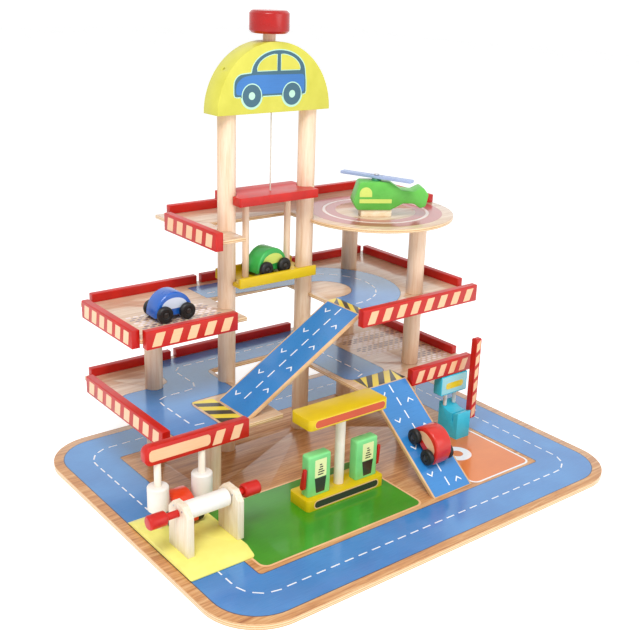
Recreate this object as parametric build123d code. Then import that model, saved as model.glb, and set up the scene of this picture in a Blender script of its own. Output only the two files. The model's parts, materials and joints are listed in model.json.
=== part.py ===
from build123d import *
import math
import os

# Toy parking garage of painted plywood and dowels, with a cord lift.
# X runs along the front edge, Y towards the back and Z up, in millimetres.
# The origin is the bottom centre of the ground board.

# ---------------------------------------------------------------- ground board and storeys
board_length = 590.0
board_width = 468.0
board_thick = 6.5
board_corner = 66.0
level_rise = 98.0
deck_thick = 5.0
deck_left = -236.0
deck_right = 220.0
deck_back = 209.0
deck_front = -23.0
deck_2_left_front = 54.0
deck_3_left = -129.5
deck_3_left_front = 57.0
deck_3_right = 232.0
helipad_centre_y = 83.0

# ---------------------------------------------------------------- lift shaft
lift_x = -33.5
lift_y = 100.7
lift_post_span = 118.0
lift_post_radius = 11.0
post_notch_gap = 0.3
well_width = 120.0
well_back_reach = 36.8
head_bottom = 437.5
head_radius = 80.5
head_thick = 30.0
head_post_depth = 20.0
head_pin_hole_radius = 2.0
head_pin_hole_depth = 9.0
head_pin_hole_angle = 39.0

# ---------------------------------------------------------------- lift car
car_frame_length = 116.0
car_frame_width = 57.0
tray_bottom = 231.5
tray_height = 12.5
tray_floor_thick = 5.0
tray_lip_thick = 4.5
guide_notch_gap = 1.0
lift_roof_bottom = 332.0
lift_roof_thick = 10.5
lift_rod_radius = 4.2
lift_rod_spacing = 62.6
lift_rod_inset = 3.0
edge_round = 1.5

# ---------------------------------------------------------------- winder and cord
knob_radius = 23.5
knob_height = 25.5
knob_lift = 8.5
knob_round = 3.0
spindle_radius = 7.5
running_gap = 0.05
spool_radius = 5.0
spool_length = 20.0
spool_flange_radius = 9.5
spool_flange_thick = 3.0
spool_chamber_radius = 10.5
thrust_gap = 0.3
guide_plug_thick = 4.0
tenon_radius = 5.0
tenon_length = 14.0
cord_radius = 1.0
cord_clearance = 0.3
cord_eye_gap = 0.5

# ---------------------------------------------------------------- posts between the decks
deck_post_radius = 11.0
post_a = (-180.0, 130.0)
post_f = (-170.0, 13.0)
post_back = (144.0, 150.0)
post_front = (144.0, 15.0)
pin_radius = 3.0
pin_depth = 10.0
pin_gap = 0.02
screw_shank_radius = 2.0
screw_head_radius = 4.2
screw_head_depth = 3.0
screw_length = 22.0

# ---------------------------------------------------------------- edge boards and rails
edge_board_thick = 10.0
edge_board_above = 12.0
edge_board_below = 10.0
edge_board_round = 1.5
rail_height = 11.0
rail_thick = 9.0
rail_round = 1.2
rail_gap = 8.0
side_board_1_run = (-8.0, 182.0)
side_board_2_run = (56.0, 184.0)
side_board_3_run = (50.0, 168.0)
front_board_1_run = (105.0, 212.0)
front_board_2_left_run = (-234.0, -113.0)
front_board_2_right_run = (16.0, 212.0)
wash_sign_run = (-281.0, -148.5)
wash_sign_bottom = 94.5
wash_sign_height = 22.5
wash_sign_corner = 8.0
rail_1_run = (-230.0, 82.0)
rail_1_split = -112.0
rail_2_run = (-224.0, 209.0)
rail_2_split = -71.0
rail_3_run = (-113.0, 221.0)
side_rail_run = (2.0, 198.0)
side_rail_3_front = 80.0

# ---------------------------------------------------------------- ramps
ramp_width = 64.0
ramp_thick = 4.5
ramp_toe = 0.8
upper_ramp_front = -13.0
upper_ramp_length = 163.5
lower_ramp_left = 39.0
lower_ramp_length = 127.0

# ---------------------------------------------------------------- fuel station
station_left = -104.5
station_front = -89.0
station_length = 116.5
station_width = 37.0
station_base_height = 14.0
station_corner = 5.0
station_post_radius = 6.0
station_post_x = -45.0
station_post_y = -71.0
station_post_length = 89.5
station_socket = 5.0
station_roof_thick = 13.0
pump_width = 33.0
pump_depth = 14.0
pump_height = 52.0
pump_round = 3.0
pump_front = -81.0
pump_left_x = -82.0
pump_right_x = -10.0
nozzle_thick = 4.0
nozzle_radius = 3.4
nozzle_length = 24.0
holster_thick = 1.5

# ---------------------------------------------------------------- car wash
wash_left = -284.0
wash_right = -204.0
wash_front = -132.0
wash_back = 14.0
wash_base_height = 8.0
wash_slope_length = 20.0
wash_plate_thick = 8.0
wash_plate_left = -270.0
wash_plate_right = -208.0
wash_plate_front = -100.0
wash_plate_depth = 39.0
wash_plate_height = 56.0
wash_plate_chamfer = 10.0
wash_axle_radius = 4.0
wash_axle_height = 45.0
wash_axle_overhang = 34.0
wash_roller_radius = 10.0
wash_knob_radius = 8.0
wash_knob_length = 21.0
wash_side_gap = 1.0
wash_dowel_radius = 4.0
wash_dowel_y = -28.0
wash_dowel_left = -264.0
wash_dowel_right = -208.5
wash_barrel_radius = 12.0
wash_barrel_height = 30.0
wash_barrel_bottom = 36.0
wash_collar_radius = 5.5
wash_collar_height = 6.0

# ---------------------------------------------------------------- ticket booth and barrier
booth_left = 174.5
booth_front = -53.0
booth_width = 24.0
booth_depth = 36.0
booth_height = 44.0
booth_scoop_depth = 9.0
booth_scoop_round = 30.0
booth_kerf_width = 2.6
booth_kerf_back = 8.0
booth_kerf_bottom = 23.5
booth_sign_left = 159.5
booth_sign_width = 48.0
booth_sign_depth = 14.0
booth_sign_front = -33.0
booth_sign_height = 27.0
booth_sign_bottom = 66.5
booth_dowel_radius = 2.5
booth_dowel_socket = 4.0
booth_dowel_inset = 3.5
booth_dowel_setback = 7.0
barrier_length = 115.0
barrier_width = 9.0
barrier_thick = 9.0
barrier_tail = 9.0
barrier_side_gap = 0.4
barrier_pivot_y = -48.5
barrier_pivot_height = 33.5
barrier_pin_radius = 2.0
barrier_pin_depth = 12.0
barrier_pin_head_radius = 4.0
barrier_pin_head = 2.0

# ---------------------------------------------------------------- helicopter
copter_x = 111.0
copter_y = 63.5
copter_turn = -30.6
copter_block_length = 40.0
copter_block_width = 22.0
copter_block_height = 9.5
copter_width = 26.0
copter_height = 36.0
copter_nose = -31.0
copter_tail = 67.0
copter_round = 4.5
rotor_length = 103.0
rotor_width = 11.0
rotor_thick = 3.5
rotor_turn = -40.0
rotor_hub_height = 3.0
rotor_hub_radius = 5.0
rotor_pin_radius = 2.0
rotor_pin_depth = 9.0
rotor_pin_head = 1.5
rotor_pin_head_radius = 3.5

# ---------------------------------------------------------------- toy cars
car_length = 50.0
car_body_width = 25.0
car_top = 34.0
car_floor = 5.0
car_shoulder = 7.0
car_edge = 1.5
wheel_radius = 10.0
wheel_width = 7.0
wheel_track_gap = 0.5
wheel_base = 30.0
axle_radius = 2.0
wheel_hub_radius = 4.5
wheel_hub_recess = 1.0
ground_gap = 0.2
blue_car_x = -171.0
blue_car_y = 104.0
green_car_turn = 188.0
red_car_down_ramp = 97.5
orange_car_x = -236.0
orange_car_y = -22.0

# ---------------------------------------------------------------- worked-out places
board_top = board_thick
deck_top = {n: board_thick + n * level_rise for n in (1, 2, 3)}
well_left = lift_x - well_width / 2
well_right = lift_x + well_width / 2
well_back = lift_y + well_back_reach
lift_post_x = (lift_x - lift_post_span / 2, lift_x + lift_post_span / 2)
head_top = head_bottom + head_radius
knob_bottom = head_top + knob_lift
plug_top = head_bottom + guide_plug_thick
spool_bottom = plug_top + thrust_gap
flange_bottom = spool_bottom + spool_length
flange_top = flange_bottom + spool_flange_thick
chamber_top = flange_top + thrust_gap
cord_y = lift_y - spool_radius - cord_radius - cord_clearance
station_top = board_top + station_base_height
wash_top = board_top + wash_base_height
wash_axle_z = wash_top + wash_axle_height
wash_axle_y = wash_plate_front + wash_plate_depth / 2
wash_rollers = {"wash_left_roller": wash_dowel_left, "wash_right_roller": wash_dowel_right}
booth_top = board_top + booth_height
barrier_x = booth_left + booth_width + barrier_side_gap
barrier_z = board_top + barrier_pivot_height
copter_bottom = deck_top[3] + copter_block_height
copter_top = copter_bottom + copter_height
rotor_bottom = copter_top + rotor_hub_height + thrust_gap
posts_on_board = (post_a, post_f, post_back, post_front)


# ---------------------------------------------------------------- small helpers
def block(x_range, y_range, z_range):
    """A square-cornered block between two opposite corners."""
    size = [high - low for low, high in (x_range, y_range, z_range)]
    middle = [(high + low) / 2 for low, high in (x_range, y_range, z_range)]
    return Pos(*middle) * Box(*size)


def upright(x, y, z_range, radius):
    """A round dowel that stands between two heights."""
    length = z_range[1] - z_range[0]
    return Pos(x, y, (z_range[0] + z_range[1]) / 2) * Cylinder(radius, length)


def lying(x_range, y, z, radius):
    """A round dowel that lies along X."""
    length = x_range[1] - x_range[0]
    return Pos((x_range[0] + x_range[1]) / 2, y, z) * Rot(0, 90, 0) * Cylinder(radius, length)


def plate(outline, bottom, thick):
    """A flat board of any outline."""
    return extrude(Pos(0, 0, bottom) * outline, thick)


def area(x_range, y_range):
    """A flat rectangle between two corners."""
    size = (x_range[1] - x_range[0], y_range[1] - y_range[0])
    return Pos((x_range[0] + x_range[1]) / 2, (y_range[0] + y_range[1]) / 2) * Rectangle(*size)


def save(name, *solids):
    """One STEP file for one sub-part, which may be a group of separate solids."""
    shape = solids[0] if len(solids) == 1 else Compound(children=list(solids))
    export_step(shape, f"parts/{name}.step")


# ---------------------------------------------------------------- ground board, decks and posts
def base_board():
    outline = RectangleRounded(board_length, board_width, board_corner)
    board = plate(outline, 0, board_thick)
    for x, y in screw_places():
        board -= upright(x, y, (0, board_thick), screw_shank_radius + pin_gap)
        board -= Pos(x, y, screw_head_depth / 2) * Cone(
            screw_head_radius + pin_gap, screw_shank_radius + pin_gap, screw_head_depth)
    return board


def screw_places():
    """Each post that stands on the ground board is screwed on from below."""
    lift_feet = [(x, lift_y) for x in lift_post_x]
    return lift_feet + list(posts_on_board)


def base_screw(x, y):
    head = Pos(x, y, screw_head_depth / 2) * Cone(screw_head_radius, screw_shank_radius, screw_head_depth)
    return head + upright(x, y, (screw_head_depth, screw_length), screw_shank_radius)


def shaft_cut():
    """The lift well and the half-round recesses where the lift posts pass a deck."""
    cut = area((well_left, well_right), (deck_front - 1, well_back))
    for x in lift_post_x:
        cut += Pos(x, lift_y) * Circle(lift_post_radius + post_notch_gap)
    return cut


def deck_outline(number):
    if number == 1:
        return area((deck_left, deck_right), (deck_front, deck_back)) - shaft_cut()
    if number == 2:
        right = area((well_right, deck_right), (deck_front, deck_back))
        left = area((deck_left, well_right), (deck_2_left_front, deck_back))
        return left + right - shaft_cut()
    lobe_x = (well_right + deck_3_right) / 2
    lobe_radius = (deck_3_right - well_right) / 2
    left = area((deck_3_left, well_right), (deck_3_left_front, deck_back))
    right = area((well_right, deck_3_right), (helipad_centre_y, deck_back))
    lobe = Pos(lobe_x, helipad_centre_y) * Circle(lobe_radius)
    return left + right + lobe - shaft_cut()


def pinned_decks(post):
    """The decks that a post of the given place passes, with a post above and below."""
    if post == post_a:
        return (1,)
    if post == post_f:
        return ()
    return (1, 2)


def deck(number):
    shape = plate(deck_outline(number), deck_top[number] - deck_thick, deck_thick)
    for post in posts_on_board:
        if number in pinned_decks(post):
            reach = (deck_top[number] - deck_thick, deck_top[number])
            shape -= upright(*post, reach, pin_radius + pin_gap)
    return shape


def deck_posts():
    """The posts between the storeys, with pin holes at the decks and pilot holes at the board."""
    posts = []
    for post in posts_on_board:
        storeys = pinned_decks(post)
        for storey in range(len(storeys) + 1):
            bottom = board_top if storey == 0 else deck_top[storey]
            top = deck_top[storey + 1] - deck_thick
            shape = upright(*post, (bottom, top), deck_post_radius)
            if storey == 0:
                shape -= upright(*post, (bottom, screw_length), screw_shank_radius + pin_gap)
            else:
                shape -= upright(*post, (bottom, bottom + pin_depth), pin_radius + pin_gap)
            if storey + 1 in storeys:
                shape -= upright(*post, (top - pin_depth, top), pin_radius + pin_gap)
            posts.append(shape)
    return posts


def deck_pins():
    pins = []
    for post in posts_on_board:
        for number in pinned_decks(post):
            reach = (deck_top[number] - deck_thick - pin_depth, deck_top[number] + pin_depth)
            pins.append(upright(*post, reach, pin_radius))
    return pins


def lift_posts():
    posts = []
    for x in lift_post_x:
        post = upright(x, lift_y, (board_top, head_bottom + head_post_depth), lift_post_radius)
        posts.append(post - upright(x, lift_y, (board_top, screw_length), screw_shank_radius + pin_gap))
    return posts


# ---------------------------------------------------------------- edge boards, rails and ramps
def edge_board(x_range, y_range, top):
    board = block(x_range, y_range, (top - edge_board_below, top + edge_board_above))
    long_axis = Axis.X if x_range[1] - x_range[0] > edge_board_thick else Axis.Y
    return fillet(board.edges().filter_by(long_axis).group_by(Axis.Z)[-1], edge_board_round)


def side_board(left, run, number):
    return edge_board((left - edge_board_thick, left), run, deck_top[number])


def front_board(front, run, number):
    return edge_board(run, (front - edge_board_thick, front), deck_top[number])


def wash_sign_board():
    reach = (wash_sign_bottom, wash_sign_bottom + wash_sign_height)
    board = block(wash_sign_run, (deck_front - edge_board_thick, deck_front), reach)
    left_corners = board.edges().filter_by(Axis.Y).group_by(Axis.X)[0]
    board = fillet(left_corners, wash_sign_corner)
    for x in wash_rollers.values():
        reach = (wash_sign_bottom, wash_sign_bottom + station_socket)
        board -= upright(x, wash_dowel_y, reach, wash_dowel_radius + pin_gap)
    return board


def rail(x_range, y_range, bottom):
    bar = block(x_range, y_range, (bottom, bottom + rail_height))
    long_axis = Axis.X if x_range[1] - x_range[0] > rail_thick else Axis.Y
    return fillet(bar.edges().filter_by(long_axis).group_by(Axis.Z)[-1], rail_round)


def back_rails(run, split, number):
    """Two rails end to end along the back edge, with a small gap between them."""
    depth = (deck_back - rail_thick, deck_back)
    left = rail((run[0], split - rail_gap / 2), depth, deck_top[number])
    right = rail((split + rail_gap / 2, run[1]), depth, deck_top[number])
    return [left, right]


def side_rail(right, run, number):
    return rail((right - rail_thick, right), run, deck_top[number])


def ramp_slope(length):
    """The angle of a ramp's driving face, in radians."""
    return math.atan2(level_rise - ramp_toe, length)


def ramp_profile(length):
    """Side view of a ramp that starts at the origin and drops one storey along +X."""
    slope = ramp_slope(length)
    drop = ramp_thick / math.cos(slope)
    heel = (level_rise - drop) / math.tan(slope)
    outline = Polyline(
        (0, 0), (length, -level_rise + ramp_toe), (length, -level_rise), (heel, -level_rise), (0, -drop), close=True)
    return make_face(outline)


def upper_ramp():
    side = Plane((well_right, upper_ramp_front, deck_top[2]), x_dir=(-1, 0, 0), z_dir=(0, 1, 0))
    return extrude(side * ramp_profile(upper_ramp_length), ramp_width)


def lower_ramp():
    side = Plane((lower_ramp_left, deck_front, deck_top[1]), x_dir=(0, -1, 0), z_dir=(-1, 0, 0))
    return extrude(side * ramp_profile(lower_ramp_length), -ramp_width)


# ---------------------------------------------------------------- tower head and winder
def tower_head():
    disc = Pos(lift_x, head_bottom) * Circle(head_radius)
    disc &= area((lift_x - head_radius, lift_x + head_radius), (head_bottom, head_top))
    face = Plane((0, lift_y + head_thick / 2, 0), x_dir=(1, 0, 0), z_dir=(0, -1, 0))
    head = extrude(face * disc, head_thick)
    for x in lift_post_x:
        reach = (head_bottom, head_bottom + head_post_depth)
        head -= upright(x, lift_y, reach, lift_post_radius + pin_gap)
    head -= upright(lift_x, lift_y, (head_bottom, chamber_top), spool_chamber_radius)
    head -= upright(lift_x, lift_y, (chamber_top, head_top), spindle_radius + running_gap)
    depth = head_pin_hole_depth
    hole = Pos(head_radius - depth / 2, 0, 0) * Rot(0, 90, 0) * Cylinder(head_pin_hole_radius, depth + 0.2)
    return head - Pos(lift_x, lift_y, head_bottom) * Rot(0, head_pin_hole_angle - 180, 0) * hole


def guide_plug():
    """Closes the spool chamber, carries the spindle's end and guides the cord through its eye."""
    plug = upright(lift_x, lift_y, (head_bottom, plug_top), spool_chamber_radius - pin_gap)
    return plug - upright(lift_x, cord_y, (head_bottom, plug_top), cord_radius + cord_eye_gap)


def winding_spindle():
    spool = upright(lift_x, lift_y, (spool_bottom, flange_bottom), spool_radius)
    flange = upright(lift_x, lift_y, (flange_bottom, flange_top), spool_flange_radius)
    shaft = upright(lift_x, lift_y, (flange_top, knob_bottom), spindle_radius)
    tenon = upright(lift_x, lift_y, (knob_bottom, knob_bottom + tenon_length), tenon_radius)
    return spool + flange + shaft + tenon


def cord_winding():
    """The turns of cord on the spool at rest, as one sleeve."""
    reach = (flange_bottom - spool_length / 2, flange_bottom)
    sleeve = upright(lift_x, lift_y, reach, spool_radius + 2 * cord_radius)
    return sleeve - upright(lift_x, lift_y, reach, spool_radius)


def winding_knob():
    knob = upright(lift_x, lift_y, (knob_bottom, knob_bottom + knob_height), knob_radius)
    knob = chamfer(knob.edges().filter_by(GeomType.CIRCLE), knob_round)
    socket = (knob_bottom, knob_bottom + tenon_length)
    return knob - upright(lift_x, lift_y, socket, tenon_radius + pin_gap)


def lift_cord():
    reach = (lift_roof_bottom + lift_roof_thick, spool_bottom + spool_length / 2 - thrust_gap)
    return upright(lift_x, cord_y, reach, cord_radius)


# ---------------------------------------------------------------- lift car
def guide_notches(z_range):
    """The hollows at both ends of tray and roof that run along the lift posts."""
    notches = [upright(x, lift_y, z_range, lift_post_radius + guide_notch_gap) for x in lift_post_x]
    return notches[0] + notches[1]


def frame_plate(z_range):
    x_range = (lift_x - car_frame_length / 2, lift_x + car_frame_length / 2)
    y_range = (lift_y - car_frame_width / 2, lift_y + car_frame_width / 2)
    plain = block(x_range, y_range, z_range)
    return fillet(plain.edges().filter_by(Axis.Z), edge_round)


def rod_places():
    return (lift_x - lift_rod_spacing / 2, lift_x + lift_rod_spacing / 2)


def lift_tray():
    top = tray_bottom + tray_height
    floor_top = tray_bottom + tray_floor_thick
    tray = frame_plate((tray_bottom, top)) - guide_notches((tray_bottom, top))
    lane = car_frame_width / 2 - tray_lip_thick
    reach = (lift_x - car_frame_length, lift_x + car_frame_length)
    tray -= block(reach, (lift_y - lane, lift_y + lane), (floor_top, top))
    for x in rod_places():
        tray -= upright(x, lift_y, (floor_top - lift_rod_inset, floor_top), lift_rod_radius + pin_gap)
    return tray


def lift_roof():
    top = lift_roof_bottom + lift_roof_thick
    roof = frame_plate((lift_roof_bottom, top)) - guide_notches((lift_roof_bottom, top))
    for x in rod_places():
        socket = (lift_roof_bottom, lift_roof_bottom + lift_rod_inset)
        roof -= upright(x, lift_y, socket, lift_rod_radius + pin_gap)
    return roof


def lift_rods():
    reach = (tray_bottom + tray_floor_thick - lift_rod_inset, lift_roof_bottom + lift_rod_inset)
    return [upright(x, lift_y, reach, lift_rod_radius) for x in rod_places()]


# ---------------------------------------------------------------- fuel station
def station_block(z_range):
    """The ground block and the roof of the station share one outline."""
    x_range = (station_left, station_left + station_length)
    y_range = (station_front, station_front + station_width)
    plain = block(x_range, y_range, z_range)
    return fillet(plain.edges().filter_by(Axis.Z), station_corner)


def station_base():
    base = station_block((board_top, station_top))
    socket = (station_top - station_socket, station_top)
    return base - upright(station_post_x, station_post_y, socket, station_post_radius + pin_gap)


def station_post():
    reach = (station_top - station_socket, station_top + station_post_length + station_socket)
    return upright(station_post_x, station_post_y, reach, station_post_radius)


def station_roof():
    bottom = station_top + station_post_length
    roof = station_block((bottom, bottom + station_roof_thick))
    socket = (bottom, bottom + station_socket)
    return roof - upright(station_post_x, station_post_y, socket, station_post_radius + pin_gap)


def pump(x):
    body = block(
        (x - pump_width / 2, x + pump_width / 2),
        (pump_front, pump_front + pump_depth),
        (station_top, station_top + pump_height))
    body = fillet(body.edges().filter_by(Axis.Y).group_by(Axis.Z)[-1], pump_round)
    return chamfer(body.edges().filter_by(Axis.X).group_by(Axis.Z)[-1], edge_round)


def pump_holsters():
    """Thin black holders on the outer side of each pump."""
    y_middle = pump_front + pump_depth / 2
    z_range = (station_top + 12, station_top + 34)
    y_range = (y_middle - 3, y_middle + 3)
    left_face = pump_left_x - pump_width / 2
    right_face = pump_right_x + pump_width / 2
    left = block((left_face - holster_thick, left_face), y_range, z_range)
    right = block((right_face, right_face + holster_thick), y_range, z_range)
    return [left, right]


def nozzle():
    """A filling nozzle seen from the side: a round grip at the foot of a narrowing spout."""
    grip = Circle(nozzle_radius)
    spout = Trapezoid(2 * nozzle_radius, nozzle_length, 86)
    shape = grip + Pos(0, nozzle_length / 2) * spout
    return extrude(Plane.YZ * shape, nozzle_thick)


def pump_nozzles():
    y_middle = pump_front + pump_depth / 2
    height = station_top + 13
    left_x = pump_left_x - pump_width / 2 - holster_thick - nozzle_thick
    right_x = pump_right_x + pump_width / 2 + holster_thick
    left = Pos(left_x, y_middle - 1, height) * Rot(8, 0, 0) * nozzle()
    right = Pos(right_x, y_middle - 1, height) * Rot(8, 0, 0) * nozzle()
    return [left, right]


# ---------------------------------------------------------------- car wash
def wash_base():
    """A drive-over block with a long slope at each end."""
    outline = Polyline(
        (wash_front, board_top),
        (wash_front + wash_slope_length, wash_top),
        (wash_back - wash_slope_length, wash_top),
        (wash_back, board_top),
        close=True)
    side = Plane((wash_left, 0, 0), x_dir=(0, 1, 0), z_dir=(1, 0, 0))
    base = extrude(side * make_face(outline), wash_right - wash_left)
    socket = (wash_top - station_socket, wash_top)
    for x in wash_rollers.values():
        base -= upright(x, wash_dowel_y, socket, wash_dowel_radius + pin_gap)
    return base


def wash_plate(left):
    reach = (wash_top, wash_top + wash_plate_height)
    depth = (wash_plate_front, wash_plate_front + wash_plate_depth)
    shape = block((left, left + wash_plate_thick), depth, reach)
    shape = chamfer(shape.edges().filter_by(Axis.X).group_by(Axis.Z)[-1], wash_plate_chamfer)
    return shape - lying((left, left + wash_plate_thick), wash_axle_y, wash_axle_z, wash_axle_radius + running_gap)


def wash_plates():
    return [wash_plate(wash_plate_left), wash_plate(wash_plate_right)]


def wash_inner():
    """The clear width between the two side plates."""
    return (wash_plate_left + wash_plate_thick, wash_plate_right)


def wash_top_roller():
    inner = wash_inner()
    reach = (inner[0] + wash_side_gap, inner[1] - wash_side_gap)
    roller = lying(reach, wash_axle_y, wash_axle_z, wash_roller_radius)
    roller = chamfer(roller.edges().filter_by(GeomType.CIRCLE), edge_round)
    return roller - lying(reach, wash_axle_y, wash_axle_z, wash_axle_radius + pin_gap)


def wash_axle():
    reach = (wash_plate_left - wash_axle_overhang, wash_plate_right + wash_plate_thick + wash_axle_overhang - 4)
    return lying(reach, wash_axle_y, wash_axle_z, wash_axle_radius)


def wash_knobs():
    """Turning knobs at both ends of the axle, a small step clear of the plates."""
    left_outer = wash_plate_left - wash_axle_overhang - edge_round
    right_outer = wash_plate_right + wash_plate_thick + wash_axle_overhang - 4 + edge_round
    knobs = []
    for x_range, bore in (
            ((left_outer, left_outer + wash_knob_length), (left_outer + edge_round, left_outer + wash_knob_length)),
            ((right_outer - wash_knob_length, right_outer), (right_outer - wash_knob_length, right_outer - edge_round))):
        knob = lying(x_range, wash_axle_y, wash_axle_z, wash_knob_radius)
        knob = chamfer(knob.edges().filter_by(GeomType.CIRCLE), edge_round)
        knobs.append(knob - lying(bore, wash_axle_y, wash_axle_z, wash_axle_radius + pin_gap))
    return knobs


def wash_dowels():
    """Fixed uprights with a collar that each side roller stands on."""
    dowels = []
    for x in wash_rollers.values():
        reach = (wash_top - station_socket, wash_sign_bottom + station_socket)
        collar = (wash_barrel_bottom - wash_collar_height, wash_barrel_bottom)
        dowel = upright(x, wash_dowel_y, reach, wash_dowel_radius)
        dowels.append(dowel + upright(x, wash_dowel_y, collar, wash_collar_radius))
    return dowels


def wash_side_roller(x):
    bottom = wash_barrel_bottom + thrust_gap
    reach = (bottom, bottom + wash_barrel_height)
    roller = upright(x, wash_dowel_y, reach, wash_barrel_radius)
    roller = chamfer(roller.edges().filter_by(GeomType.CIRCLE), edge_round)
    return roller - upright(x, wash_dowel_y, reach, wash_dowel_radius + running_gap)


# ---------------------------------------------------------------- ticket booth and barrier
def booth_ranges():
    x_range = (booth_left, booth_left + booth_width)
    y_range = (booth_front, booth_front + booth_depth)
    return x_range, y_range


def booth_dowel_places():
    x_range, y_range = booth_ranges()
    y = y_range[1] - booth_dowel_setback
    return ((x_range[0] + booth_dowel_inset, y), (x_range[1] - booth_dowel_inset, y))


def booth_block():
    x_range, y_range = booth_ranges()
    body = block(x_range, y_range, (board_top, booth_top))
    scoop_y = y_range[0] + booth_scoop_round * 0.45
    scoop_z = booth_top + booth_scoop_round - booth_scoop_depth
    body -= lying(x_range, scoop_y, scoop_z, booth_scoop_round)
    kerf = (y_range[0] + booth_kerf_back, y_range[0] + booth_kerf_back + booth_kerf_width)
    body -= block(x_range, kerf, (board_top + booth_kerf_bottom, booth_top))
    for x, y in booth_dowel_places():
        body -= upright(x, y, (booth_top - booth_dowel_socket, booth_top), booth_dowel_radius + pin_gap)
    pin = (x_range[1] - barrier_pin_depth, x_range[1])
    return body - lying(pin, barrier_pivot_y, barrier_z, barrier_pin_radius + pin_gap)


def booth_dowels():
    reach = (booth_top - booth_dowel_socket, booth_sign_bottom + booth_dowel_socket)
    return [upright(x, y, reach, booth_dowel_radius) for x, y in booth_dowel_places()]


def booth_sign():
    sign = block(
        (booth_sign_left, booth_sign_left + booth_sign_width),
        (booth_sign_front, booth_sign_front + booth_sign_depth),
        (booth_sign_bottom, booth_sign_bottom + booth_sign_height))
    sign = fillet(sign.edges().filter_by(Axis.Y), edge_round)
    for x, y in booth_dowel_places():
        reach = (booth_sign_bottom, booth_sign_bottom + booth_dowel_socket)
        sign -= upright(x, y, reach, booth_dowel_radius + pin_gap)
    return sign


def barrier_arm():
    """An upright bar, rounded at its foot around the pivot."""
    x_range = (barrier_x, barrier_x + barrier_thick)
    top = barrier_z - barrier_tail + barrier_length
    arm = block(x_range, (barrier_pivot_y - barrier_width / 2, barrier_pivot_y + barrier_width / 2),
                (barrier_z - barrier_tail, top))
    arm = fillet(arm.edges().filter_by(Axis.X), barrier_width * 0.25)
    return arm - lying(x_range, barrier_pivot_y, barrier_z, barrier_pin_radius + running_gap)


def barrier_pin():
    inner = booth_left + booth_width - barrier_pin_depth
    outer = barrier_x + barrier_thick + thrust_gap
    shank = lying((inner, outer), barrier_pivot_y, barrier_z, barrier_pin_radius)
    head = lying((outer, outer + barrier_pin_head), barrier_pivot_y, barrier_z, barrier_pin_head_radius)
    return shank + head


# ---------------------------------------------------------------- helicopter
def copter_place():
    return Pos(copter_x, copter_y, copter_bottom) * Rot(0, 0, copter_turn)


def copter_profile():
    """Side view: a deep rounded cabin, a slim boom and a swollen tail."""
    height = copter_height
    cabin = (
        (copter_nose, height * 0.28), (copter_nose + 5, 0), (18, 0), (34, 8.5), (48, 8.5), (57, 2),
        (copter_tail - 3, 5), (copter_tail, 20), (copter_tail - 8, 30), (47, 24), (32, 25.5), (16, height),
        (copter_nose + 8, height))
    outline = make_face(Polyline(*cabin, close=True))
    return fillet(outline.vertices(), copter_round)


def helicopter_body():
    side = Plane((0, copter_width / 2, 0), x_dir=(1, 0, 0), z_dir=(0, -1, 0))
    body = extrude(side * copter_profile(), copter_width)
    body += upright(0, 0, (copter_height, copter_height + rotor_hub_height), rotor_hub_radius)
    top = copter_height + rotor_hub_height
    body -= upright(0, 0, (top - rotor_pin_depth, top), rotor_pin_radius + pin_gap)
    return copter_place() * body


def helicopter_block():
    z_range = (-copter_block_height, 0)
    half = (copter_block_length / 2, copter_block_width / 2)
    shape = block((-half[0], half[0]), (-half[1], half[1]), z_range)
    return copter_place() * shape


def helicopter_rotor():
    blade = Box(rotor_length, rotor_width, rotor_thick) - Cylinder(rotor_pin_radius + running_gap, rotor_thick)
    blade = fillet(blade.edges().filter_by(Axis.Z).group_by(SortBy.LENGTH)[-1], edge_round)
    lift = rotor_bottom - copter_bottom + rotor_thick / 2
    return copter_place() * Pos(0, 0, lift) * Rot(0, 0, rotor_turn) * blade


def rotor_pin():
    bottom = copter_height + rotor_hub_height - rotor_pin_depth
    top = rotor_bottom - copter_bottom + rotor_thick + thrust_gap
    shank = upright(0, 0, (bottom, top), rotor_pin_radius)
    head = upright(0, 0, (top, top + rotor_pin_head), rotor_pin_head_radius)
    return copter_place() * (shank + head)


# ---------------------------------------------------------------- toy cars
def car_body():
    """A thick slice of a half-ellipse, nose towards +X, standing on the XY plane."""
    height = car_top - car_shoulder
    outline = Pos(0, car_shoulder) * Ellipse(car_length / 2, height)
    outline &= area((-car_length / 2, car_length / 2), (car_floor, car_top))
    side = Plane((0, car_body_width / 2, 0), x_dir=(1, 0, 0), z_dir=(0, -1, 0))
    body = extrude(side * outline, car_body_width)
    body = chamfer(body.edges().group_by(Axis.Y)[0] + body.edges().group_by(Axis.Y)[-1], car_edge)
    for x in (-wheel_base / 2, wheel_base / 2):
        body -= Pos(x, 0, wheel_radius) * Rot(90, 0, 0) * Cylinder(axle_radius + running_gap, car_body_width)
    return body


def wheel_set(x):
    """One axle with its two wheels, which turn together."""
    inner = car_body_width / 2 + wheel_track_gap
    outer = inner + wheel_width
    shape = Rot(90, 0, 0) * Cylinder(axle_radius, 2 * (inner + 1))
    for side in (-1, 1):
        wheel = Pos(0, side * (inner + outer) / 2, 0) * Rot(90, 0, 0) * Cylinder(wheel_radius, wheel_width)
        wheel = chamfer(wheel.edges().filter_by(GeomType.CIRCLE), edge_round)
        recess_y = side * (outer - wheel_hub_recess / 2)
        wheel -= Pos(0, recess_y, 0) * Rot(90, 0, 0) * Cylinder(wheel_hub_radius, wheel_hub_recess)
        shape += wheel
    return Pos(x, 0, wheel_radius) * shape


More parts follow.
